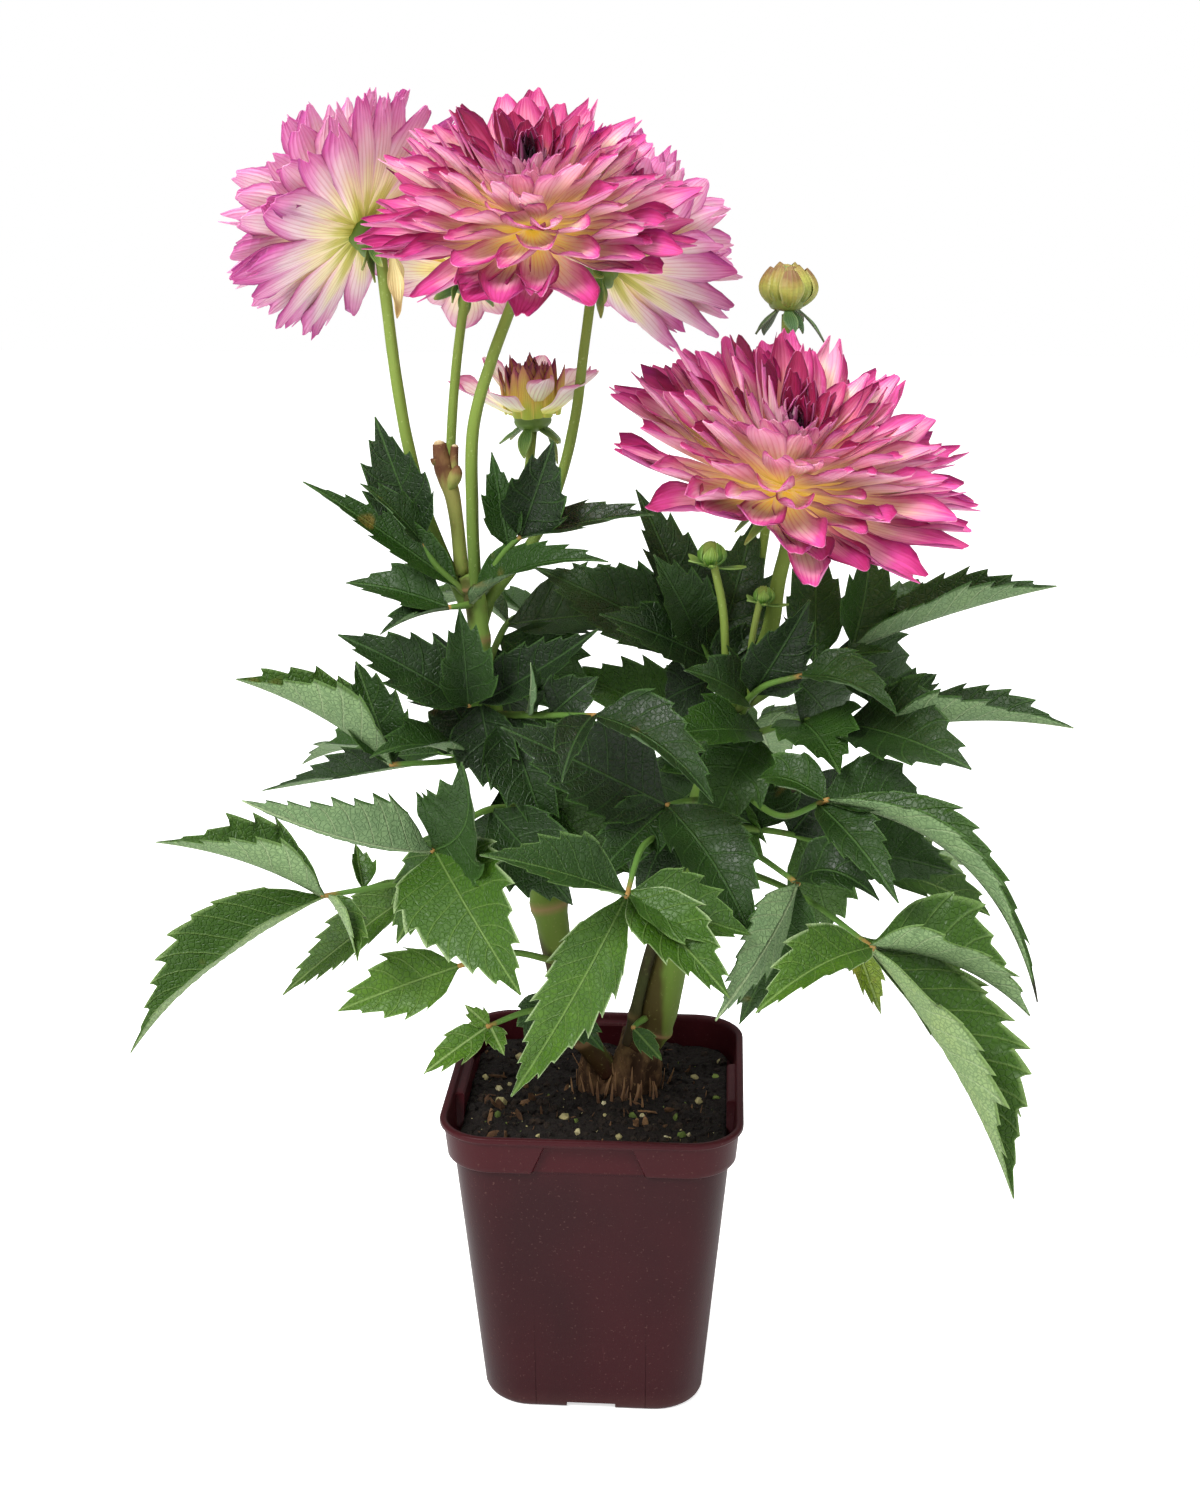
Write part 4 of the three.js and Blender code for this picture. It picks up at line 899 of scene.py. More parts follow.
leaves = {
    "leaf_left_low": ([[-25, -4, 226], [-68, -28, 224], [-104, -38, 220]], [
        leaflet([-162, -55, 247], 34, [0.1, -0.05, 1], 4, 36, 0.45),
        leaflet([-181, -45, 155], 38, [-0.45, -0.6, 0.65], 6, 41, 0.68, bow=4),
        leaflet([-86, -62, 204], 17, [0.7, -0.5, 0.4], 2, 40, 0.7),
        leaflet([-93, -22, 236], 13, [0.5, -0.7, 0.3], 0, 30, 0.5, at=0.78),
        leaflet([-130, 0, 161], 25, [-0.4, -0.8, 0.5], 3, 24, 0.78, at=0.42),
    ]),
    "leaf_left_mid": ([[-31, -2.5, 246], [-44, -30, 252], [-59, -52, 244]], [
        leaflet([-121, -84, 274], 34, [-0.1, 0.75, 0.5], -4, 24, 0.25),
        leaflet([-44, -72, 286], 44, [-0.6, -0.9, 0.25], -2, 16, 0.3, bow=9),
        leaflet([-21, -98, 208], 46, [-0.25, -0.8, 0.75], 7, 14, 0.55),
        leaflet([-75, -40, 202], 26, [-0.2, -0.9, 0.3], 2, 12, 0.6, at=0.7),
        leaflet([-38, 4, 212], 34, [-0.1, -0.9, 0.3], 3, 14, 0.15, at=0.3),
        leaflet([-8, -26, 214], 34, [0.2, -0.9, 0.35], 4, 16, 0.15, at=0.35),
    ]),
    "leaf_left_high": ([[-37, 0, 268], [-58, -8, 266], [-80, -14, 266]], [
        leaflet([-137, -20, 301], 44, [0.3, -0.1, 1], 4, 42, 0.42),
        leaflet([-94, -2, 304], 27, [0.2, -0.9, 0.25], 2, 22, 0.4),
        leaflet([-136, 8, 247], 20, [0, -0.3, 1], 0, 24, 0.3, at=0.8),
        leaflet([-84, -34, 275], 22, [0, -0.3, 1], 6, 20, 0.3, at=0.35),
        leaflet([-64, 14, 289], 34, [-0.1, -0.8, 0.6], 3, 14, 0.15, at=0.15),
    ]),
    "leaf_left_back": ([[-28, 7, 244], [-56, 34, 254], [-80, 50, 252]], [
        leaflet([-132, 66, 240], 36, [-0.2, 0, 1], 5, 18, 0.3),
        leaflet([-96, 104, 236], 36, [-0.2, 0.4, 1], 5, 20, 0.3),
        leaflet([-112, 26, 250], 30, [0, -0.4, 1], 2, 16, 0.3, at=0.75),
        leaflet([-62, 88, 232], 30, [0.2, 0.4, 1], 4, 18, 0.3, at=0.6),
        leaflet([14, 34, 262], 38, [0.2, -0.7, 0.7], 3, 14, 0.3, at=0.35),
        leaflet([-22, 24, 194], 44, [0.1, -0.9, 0.3], 3, 16, 0.3, at=0.2),
        leaflet([12, 24, 209], 40, [0.2, -0.9, 0.4], 3, 14, 0.3, at=0.12),
    ]),
    "leaf_front": ([[40, -2, 240], [27, -35, 247], [20, -66, 252], [16, -90, 243]], [
        leaflet([-32, -118, 268], 30, [-0.1, -0.5, 1], 2, 20, 0.42),
        leaflet([-25, -98, 168], 28, [-0.2, -0.93, 0.3], 7, 18, 0.54, bow=-3, wave=1.9),
        leaflet([53, -112, 215], 28, [0.1, -0.75, 0.65], 4, 18, 0.55),
        leaflet([60, -88, 229], 34, [0.1, -0.5, 0.9], 3, 14, 0.45, at=0.97, bow=3),
    ]),
    "leaf_front_inner": ([[42, -2, 250], [34, -22, 256], [28, -33, 258]], [
        leaflet([-33, -44, 291], 40, [0.2, -0.9, 0.6], 2, 10, 0.15),
        leaflet([61, -66, 218], 36, [0.3, -0.7, 0.7], 7, 16, 0.15),
        leaflet([2, -62, 238], 26, [0, -0.8, 0.6], 3, 16, 0.15, at=0.9),
        leaflet([18, -34, 220], 30, [-0.1, -0.8, 0.5], 4, 18, 0.15, at=0.5),
    ]),
    "leaf_small_left": ([[-17, -6, 182], [-34, -18, 190], [-53, -28, 188]], [
        leaflet([-99, -40, 173], 27, [-0.05, -0.8, 0.6], 2, 8, 0.66),
    ]),
    "leaf_seedling": ([[-9, -7, 157], [-24, -24, 168], [-41, -38, 167]], [
        leaflet([-64, -52, 153], 15, [-0.2, -0.8, 0.6], 1, 10, 0.88),
        leaflet([-49, -40, 177], 8, [0, -0.9, 0.4], 0, 10, 0.88),
        leaflet([-33, -48, 160], 9, [0.2, -0.9, 0.4], 0, 10, 0.88),
    ]),
    "leaf_stem_base": ([[20, -2, 156], [17, -7, 156], [15, -12, 156]], [
        leaflet([27, -16, 144], 9, [0.2, -0.9, 0.4], 1, 10, 0.5),
    ]),
    "leaf_round_low": ([[-12, -6, 166], [-14, -11, 170], [-17, -15, 172]], [
        leaflet([-27, -24, 153], 20, [-0.2, -0.9, 0.3], 1, 8, 0.35),
        leaflet([4, -22, 150], 14, [0.2, -0.9, 0.3], 2, 8, 0.35),
    ]),
    "leaf_right_low": ([[41, 0, 226], [78, -34, 224], [105, -72, 218]], [
        leaflet([62, -106, 207], 27, [-0.25, -0.55, 0.8], 6, 20, 0.55),
        leaflet([161, -80, 197], 46, [0.1, 0.0, 1], 7, 36, 0.5),
        leaflet([157, -96, 132], 54, [0.8, -0.43, 0.45], 5, 42, 0.7, bow=-2),
        leaflet([167, -40, 136], 34, [0.6, -0.6, 0.6], 6, 16, 0.62, at=0.9),
        leaflet([110, -56, 185], 12, [0.2, -0.9, 0.3], 0, 16, 1.15, at=0.86),
    ]),
    "leaf_right_low_back": ([[46, 9, 236], [80, 14, 230], [109, 8, 220]], [
        leaflet([157, 6, 201], 32, [0.2, -0.5, 0.9], 4, 18, 0.6),
        leaflet([150, 42, 206], 32, [0.2, 0.1, 1], 5, 18, 0.6),
        leaflet([140, -14, 226], 40, [0.2, -0.7, 0.7], 4, 12, 0.3, at=0.8),
        leaflet([147, 34, 234], 26, [0.1, -0.4, 1], 3, 16, 0.5, at=0.7),
        leaflet([68, 26, 256], 38, [-0.2, -0.7, 0.7], 3, 14, 0.2, at=0.25),
        leaflet([99, 30, 253], 38, [0.1, -0.7, 0.7], 3, 14, 0.2, at=0.45),
        leaflet([94, 18, 188], 34, [0.1, -0.7, 0.7], 3, 14, 0.4, at=0.5),
    ]),
    "leaf_right_inner": ([[41.5, -2, 238], [60, -26, 238], [78, -50, 234]], [
        leaflet([48, -113, 207], 22, [-0.8, -0.3, -0.5], -3, 14, 0.3),
        leaflet([57, -66, 184], 30, [0.3, -0.9, 0.3], 3, 12, 0.3),
        leaflet([107, -62, 233], 24, [0.1, -0.6, 0.8], 12, 20, 0.3),
    ]),
    "leaf_right_mid": ([[48, 0, 262], [70, -24, 252], [88, -46, 266]], [
        leaflet([162, -88, 206], 24, [0.6, -0.3, 0.9], 20, 44, 0.35, dryTip=True),
        leaflet([62, -30, 268], 24, [-0.1, -0.4, 1], 5, 20, 0.35),
        leaflet([128, -30, 258], 34, [0.1, -0.6, 0.9], 4, 20, 0.35),
        leaflet([112, -82, 240], 22, [0.2, -0.7, 0.7], 4, 16, 0.35, at=0.9),
    ]),
    "leaf_right_high": ([[56, 2.5, 286], [80, 0, 303], [99, 0, 313]], [
        leaflet([172, -8, 339], 34, [0, -0.1, 1], 2, 38, 0.32),
        leaflet([104, 17, 346], 26, [0.3, -0.9, 0.2], 3, 18, 0.32),
        leaflet([84, 24, 348], 26, [-0.1, -0.9, 0.2], 3, 18, 0.32, at=0.6),
        leaflet([112, -12, 314], 9, [0, -0.5, 1], 0, 16, 0.32, at=0.8),
        leaflet([150, 58, 322], 34, [0.1, 0.3, 1], 5, 20, 0.32),
        leaflet([95, 22, 270], 38, [0.1, -0.8, 0.5], 4, 14, 0.32, at=0.4),
        leaflet([128, 20, 286], 34, [0.1, -0.8, 0.6], 4, 14, 0.32, at=0.7),
    ]),
    "leaf_right_upper": ([[52, 6, 272], [82, -4, 284], [108, -16, 284]], [
        leaflet([179, -25, 289], 32, [0, -0.05, 1], 4, 38, 0.3),
        leaflet([131, 8, 300], 28, [-0.1, -0.5, 1], 1, 24, 0.3),
        leaflet([139, -50, 280], 44, [0, -0.6, 0.9], 4, 14, 0.3, at=0.75),
        leaflet([92, -46, 276], 34, [0, -0.6, 0.9], 4, 14, 0.3, at=0.45),
        leaflet([24, -30, 284], 28, [-0.1, -0.7, 0.7], 3, 14, 0.3, at=0.2),
        leaflet([45, -16, 243], 34, [-0.1, -0.9, 0.35], 4, 16, 0.3, at=0.15),
    ]),
    "leaf_right_top": ([[54.5, -1.5, 287], [64, -14, 300], [78, -20, 306]], [
        leaflet([80, -20, 335], 28, [0.3, -0.9, 0.3], 2, 16, 0.15, at=0.3),
        leaflet([112, -42, 298], 26, [0, -0.45, 1], 6, 24, 0.15),
        leaflet([112, -8, 296], 18, [0.2, -0.4, 1], 5, 20, 0.15),
        leaflet([34, -26, 309], 24, [0, -0.7, 0.7], 3, 16, 0.15, at=0.2),
    ]),
    "leaf_center_top": ([[52, 7, 290], [44, 10, 302], [38, 8, 314]], [
        leaflet([22, -14, 350], 27, [0.4, -0.9, 0.3], 2, 16, 0.1),
        leaflet([14, 12, 370], 30, [0.3, -0.8, 0.4], 3, 18, 0.1),
        leaflet([2, -18, 328], 34, [-0.1, -0.8, 0.6], 3, 16, 0.1, at=0.6),
        leaflet([20, 58, 344], 32, [-0.1, 0.6, 0.8], 4, 18, 0.1),
        leaflet([-27, 27, 336], 36, [-0.1, -0.7, 0.7], 3, 14, 0.1, at=0.7),
        leaflet([60, 30, 356], 32, [0.1, -0.8, 0.5], 2, 14, 0.1, at=0.45),
        leaflet([26, 20, 284], 34, [-0.1, -0.8, 0.5], 3, 14, 0.1, at=0.3),
        leaflet([68, 16, 317], 30, [0.1, -0.8, 0.5], 3, 14, 0.1, at=0.2),
    ]),
    "leaf_center": ([[-41, -4, 284], [-16, -24, 290], [2, -44, 296]], [
        leaflet([46, -70, 272], 32, [0.2, -0.5, 1], 8, 24, 0.15),
        leaflet([-8, -74, 280], 18, [-0.2, -0.5, 1], 4, 24, 0.15),
        leaflet([2, -26, 306], 22, [0.1, -0.8, 0.5], 2, 18, 0.15, at=0.5),
        leaflet([-22, -38, 314], 12, [0.8, -0.5, 0.2], 1, 30, 0.15, at=0.3),
        leaflet([-18, -22, 241], 34, [0.1, -0.9, 0.35], 4, 18, 0.15, at=0.12),
    ]),
    "leaf_upper_mid": ([[-42.5, -3.5, 288], [-46, -9, 290], [-49, -13, 290]], [
        leaflet([-50, -24, 331], 26, [0.25, -0.9, 0.2], 2, 26, 0.12),
        leaflet([-97, -20, 319], 30, [-0.3, -0.7, 0.8], 4, 22, 0.12),
        leaflet([2, -30, 325], 25, [0.1, -0.75, 0.6], -3, 26, 0.12, at=0.5),
        leaflet([-79, 10, 304], 30, [-0.2, -0.8, 0.6], 4, 16, 0.12, at=0.7),
        leaflet([-35, -14, 254], 30, [-0.2, -0.9, 0.3], 3, 18, 0.12, at=0.35),
    ]),
    "leaf_cluster_left": ([[-50, -1.5, 331], [-62, -5, 344], [-66, -6, 352]], [
        leaflet([-83, -4, 399], 27, [-0.2, -0.9, 0.3], 1, 18, 0.22),
        leaflet([-86, -22, 377], 16, [-0.2, -0.6, 0.8], 2, 20, 0.22),
        leaflet([-109, -14, 376], 20, [-0.6, -0.5, 0.8], 3, 28, 0.22, at=0.1),
    ]),
    "leaf_cluster_low": ([[-48, -4, 328], [-52, -8, 328], [-56, -10, 328]], [
        leaflet([-96, -6, 336], 21, [0, -0.6, 0.8], 3, 16, 0.2),
        leaflet([-80, -26, 321], 14, [-0.2, -0.2, 1], 2, 20, 0.2),
        leaflet([6, -32, 351], 24, [0.2, -0.5, 0.9], 8, 24, 0.2, at=0.1),
    ]),
    "leaf_cluster_right": ([[-45.5, -3.5, 332], [-34, -10, 350], [-28, -12, 356]], [
        leaflet([-15, -18, 393], 28, [0.2, -0.9, 0.3], 2, 20, 0.15),
        leaflet([22, -18, 366], 20, [0.1, -0.5, 1], 2, 20, 0.15),
        leaflet([-38, -16, 388], 16, [0.1, -0.9, 0.3], 1, 18, 0.15, at=0.6),
    ]),
    "leaf_back_right": ([[43.5, 9, 250], [56, 44, 262], [64, 70, 258]], [
        leaflet([72, 119, 222], 40, [0, 0.5, 0.8], 6, 18, 0.4),
        leaflet([112, 88, 250], 36, [0.2, 0.4, 1], 5, 18, 0.4),
        leaflet([26, 94, 240], 36, [-0.2, 0.4, 1], 5, 18, 0.4),
        leaflet([100, 48, 262], 28, [0.2, 0.2, 1], 4, 18, 0.4, at=0.6),
        leaflet([-18, 47, 289], 40, [-0.2, -0.7, 0.7], 3, 14, 0.4, at=0.4),
        leaflet([-1, 36, 201], 44, [-0.2, -0.8, 0.5], 4, 14, 0.4, at=0.2),
        leaflet([49, 30, 193], 36, [0.1, -0.8, 0.5], 4, 16, 0.4, at=0.12),
        leaflet([24, 52, 256], 40, [-0.1, -0.7, 0.7], 3, 14, 0.4, at=0.3),
    ]),
    "leaf_back_high": ([[-44, 3, 300], [-38, 34, 312], [-32, 56, 310]], [
        leaflet([-24, 112, 288], 36, [0, 0.5, 0.9], 6, 18, 0.3),
        leaflet([-76, 84, 306], 34, [-0.2, 0.4, 1], 5, 18, 0.3),
        leaflet([10, 82, 302], 34, [0.2, 0.4, 1], 5, 18, 0.3),
        leaflet([-72, 40, 322], 26, [-0.2, 0.1, 1], 4, 18, 0.3, at=0.5),
        leaflet([34, 36, 316], 38, [0.1, -0.6, 0.8], 3, 14, 0.3, at=0.45),
        leaflet([-33, 22, 268], 40, [-0.1, -0.9, 0.3], 3, 14, 0.3, at=0.2),
        leaflet([-7, 34, 280], 36, [0.1, -0.8, 0.5], 3, 14, 0.3, at=0.3),
    ]),
}
leafOutline = [  # half width along the leaflet, both as shares
    (0, 0.05), (0.04, 0.16), (0.1, 0.45), (0.18, 0.8), (0.28, 0.98), (0.38, 1.0), (0.5, 0.9), (0.62, 0.7),
    (0.73, 0.46), (0.83, 0.26), (0.91, 0.12), (0.97, 0.045), (1, 0.012),
]
leafShape = {
    "thickness": 0.34, "toothLength": 8.0, "toothDepth": 0.16, "toothForward": 0.5, "veinSweep": 0.15,
    "bulge": 0.8, "wave": 0.17, "droop": 0.14, "rib": 0.5, "teeth": (4, 11),
}
toothRows = np.array([0.0, 0.22, 0.45, 0.72, 1.0, 0.42])


def leafletBlock(base, seed, tip, width, face, arch, fold, tone, bow=0, wave=1.0, dryTip=False):
    s = leafShape
    random = np.random.default_rng(seed)
    start, end = np.array(base, float), np.array(tip, float)
    length = np.linalg.norm(end - start)
    chord = (end - start) / length
    hint = unit(face)
    normal = unit(hint - chord * (hint @ chord))
    middle = (start + end) / 2 + 2 * arch * normal + 2 * bow * np.cross(chord, normal)
    teeth = int(np.clip(round(length / s["toothLength"]), *s["teeth"]))
    rows = teeth * len(toothRows) + 1
    u = np.linspace(0, 1, rows)[:, None]
    v = np.array([-1, -0.9, -0.74, -0.52, -0.3, -0.11, 0, 0.11, 0.3, 0.52, 0.74, 0.9, 1])[None, :]
    size, rib = np.abs(v), np.abs(v) < 0.05
    # teeth of uneven size, fewer near both ends
    saw = np.append(np.tile(toothRows, teeth), 0.0)[:, None]
    keep = np.interp(u, [0, 0.12, 0.24, 0.8, 0.9, 1], [0, 0.1, 1, 1, 0.3, 0])
    big = 0.5 + 0.9 * random.random((teeth + 1, 2)).repeat(len(toothRows), 0)[:rows]
    tooth = saw * keep * np.where(v < 0, big[:, :1], big[:, 1:])
    # the midrib's curve, and a frame along it
    place = np.clip(u + s["toothForward"] * tooth * size**6 / teeth, 0, 1)
    t = place[..., None]
    curve = (1 - t) ** 2 * start + 2 * t * (1 - t) * middle + t**2 * end
    along = unit(2 * (1 - t) * (middle - start) + 2 * t * (end - middle))
    top = unit(normal - along * (along @ normal)[..., None])
    across = np.cross(along, top)
    # how far out and how high each point lies
    half = np.interp(u, *zip(*leafOutline)) * width / 2
    reach = half * (size + s["toothDepth"] * (tooth - 0.35 * keep) * size**5)
    rise = math.radians(min(fold * 1.15 + 8, 54))
    phase = random.uniform(0, 6.28, 3)
    vein = teeth * (u - s["veinSweep"] * size**1.15 + s["veinSweep"]) - 4 / 6
    lift = math.sin(rise) * size + s["droop"] * size * (1 - 1.3 * size)
    slow = np.sin(u * 7 + phase[0] + np.sign(v) * phase[1])
    lift = lift + wave * s["wave"] * size**2 * slow * np.minimum(1, 4 * u)
    lift = lift + wave**2 * 0.03 * size**3 * np.sin(u * 23 + phase[2] * np.sign(v))
    pillow = np.abs(np.sin(math.pi * vein)) * 4 * size * (1 - size) * keep * min(1, width / 30)
    y = reach * lift + s["bulge"] * pillow - 0.35 * rib * (1 - u)
    x = np.sign(v) * reach * math.cos(rise)
    twist = math.radians(random.uniform(-9, 9)) * u
    x, y = x * np.cos(twist) - y * np.sin(twist), x * np.sin(twist) + y * np.cos(twist)
    upper = curve + across * x[..., None] + top * y[..., None]
    # the underside, thicker along the midrib
    skin = unit(np.cross(np.gradient(upper, axis=1), np.gradient(upper, axis=0)))
    if (skin * top).sum() < 0:
        skin = -skin
    depth = s["thickness"] * np.ones_like(size * u) + s["rib"] * rib * (1.2 - u)
    lower = (upper - skin * depth[..., None])[:, 1:-1]
    columns = v.shape[1]
    count = rows * columns
    upperIndex = np.arange(count).reshape(rows, columns)
    lowerIndex = np.arange(rows * (columns - 2)).reshape(rows, columns - 2) + count
    lowerWhole = np.concatenate([upperIndex[:, :1], lowerIndex, upperIndex[:, -1:]], 1)
    faces = gridFaces(rows, columns)
    under = lowerWhole.reshape(-1)[faces]
    ends = []
    for row, order in ((0, 1), (rows - 1, -1)):
        for c in range(columns - 1):
            corners = [*upperIndex[row, c : c + 2], *lowerWhole[row, c : c + 2][::-1]]
            corners = list(dict.fromkeys(corners))[::order]
            ends.append(corners + [-1] * (4 - len(corners)))

    def both(values):  # one value per point of the upper and then of the lower skin
        whole = np.broadcast_to(values, (rows, columns))
        return np.concatenate([whole.reshape(-1), whole[:, 1:-1].reshape(-1)])

    points = np.concatenate([upper.reshape(-1, 3), lower.reshape(-1, 3)])
    own = np.full(len(points), random.random())  # the leaflet's own number
    edgeMark = np.zeros((rows, columns))
    edgeMark[:, [0, -1]] = 1
    fields = {
        "leafPlace": np.stack([both(np.sign(v) * reach), both(vein), own], -1),
        "leafTone": np.full(len(points), tone),
        "leafSide": np.concatenate([np.zeros(count), np.ones(rows * (columns - 2))]),
        "leafShare": both(u) * (1.0 if dryTip else 0.9),
        "leafEdge": both(size),
        "edge": both(edgeMark),
        **{key: np.zeros(len(points)) for key in ("along", "share", "node", "flank")},
    }
    faces = np.concatenate([faces[:, ::-1], under, np.array(ends)])
    return {"points": points * mm, "faces": faces, "fields": fields, "kind": 0}


def petioleBlock(path, radius):
    points = [[*p, radius * (1 - 0.35 * i / (len(path) - 1))] for i, p in enumerate(path)]
    block = stemBlock(points, ribs=0.08, sides=10, step=1.8, kind=1, seed=len(path))
    count = len(block["points"])
    block["fields"]["leafPlace"] = np.zeros((count, 3))
    for key in ("leafTone", "leafSide", "leafShare", "leafEdge", "edge"):
        block["fields"][key] = np.zeros(count)
    return block


for number, (name, (petiole, leaflets)) in enumerate(leaves.items()):
    blocks = [petioleBlock(petiole, 1.5)]
    for order, one in enumerate(leaflets):
        at = one.pop("at", 0.985 - 0.012 * order)
        blocks.append(leafletBlock(smoothPath(petiole, [at])[0], number * 100 + order, **one))
    pieceFrom(name + "_blades", blocks, [leafFinish, petioleFinish], "leaf", name)
print("leaves made")


# Petals, bracts, scales and fibres: rows of blades set round an axis, in millimetres and degrees
bladeInputs = {
    "Blades": 40, "Blade Length": 50.0, "Inner Length": 30.0, "Blade Width": 13.0, "Inner Width": 8.0,
    "Low Lean": 90.0, "High Lean": 30.0, "Lean Curve": 1.0, "Tilt": 0.0, "Bend": 0.0, "Inner Bend": 0.0,
    "Bend Spread": 20.0, "Cup": 30.0, "Inner Cup": 60.0, "Tip Curl": 20.0, "Twist": 20.0, "Ruffle": 0.05,
    "Notch": 0.3, "Hub Radius": 5.0, "Hub Rise": 6.0, "Hub Base": 0.0, "Thickness": 0.4, "Spread": 10.0,
    "First Turn": 0.0, "First Row": 0.0, "Last Row": 1.0, "Seed": 0, "Rows Along": 12, "Rows Across": 7,
    "Tip Width": 0.12, "Tip Power": 2.2, "Base Width": 0.3, "Widest": 0.65, "Round Tip": 0.0, "Sway": 10.0,
    "Deep Side": 0.0, "Finish": None,
}


def newTree(name, inputs, takesMesh=False):
    kinds = {int: "NodeSocketInt", float: "NodeSocketFloat", type(None): "NodeSocketMaterial"}
    tree = bpy.data.node_groups.new(name, "GeometryNodeTree")
    tree.interface.new_socket(name="Geometry", in_out="OUTPUT", socket_type="NodeSocketGeometry")
    if takesMesh:
        tree.interface.new_socket(name="Geometry", in_out="INPUT", socket_type="NodeSocketGeometry")
    for key, value in inputs.items():
        socket = tree.interface.new_socket(name=key, in_out="INPUT", socket_type=kinds[type(value)])
        if value is not None:
            socket.default_value = value
    entry = tree.nodes.new("NodeGroupInput")
    return tree, {key: Signal(tree, entry.outputs[key]) for key in inputs}, entry


def keep(tree, geometry, name, value, kind="FLOAT_VECTOR", domain="POINT"):
    node = addNode(
        tree, "GeometryNodeStoreNamedAttribute", {"data_type": kind, "domain": domain},
        Geometry=geometry, Name=name, Value=value,
    )
    return signal(node, "Geometry")


def kept(tree, name):
    node = addNode(tree, "GeometryNodeInputNamedAttribute", {"data_type": "FLOAT_VECTOR"}, Name=name)
    return signal(node, "Attribute")


def randomValue(tree, low, high, seed, item=None):
    node = addNode(tree, "FunctionNodeRandomValue", {"data_type": "FLOAT"})
    for name, value in (("Min", low), ("Max", high), ("ID", item), ("Seed", seed)):
        feed(tree, openSocket(node.inputs, name), value)
    return signal(node, "Value")


def finish(tree, geometry, material):  # the tree's last nodes
    painted = addNode(tree, "GeometryNodeSetMaterial", Geometry=geometry, Material=material)
    feed(tree, tree.nodes.new("NodeGroupOutput").inputs["Geometry"], signal(painted, "Geometry"))


goldenAngle = 2.39996  # radians from one blade to the next
degree = math.pi / 180


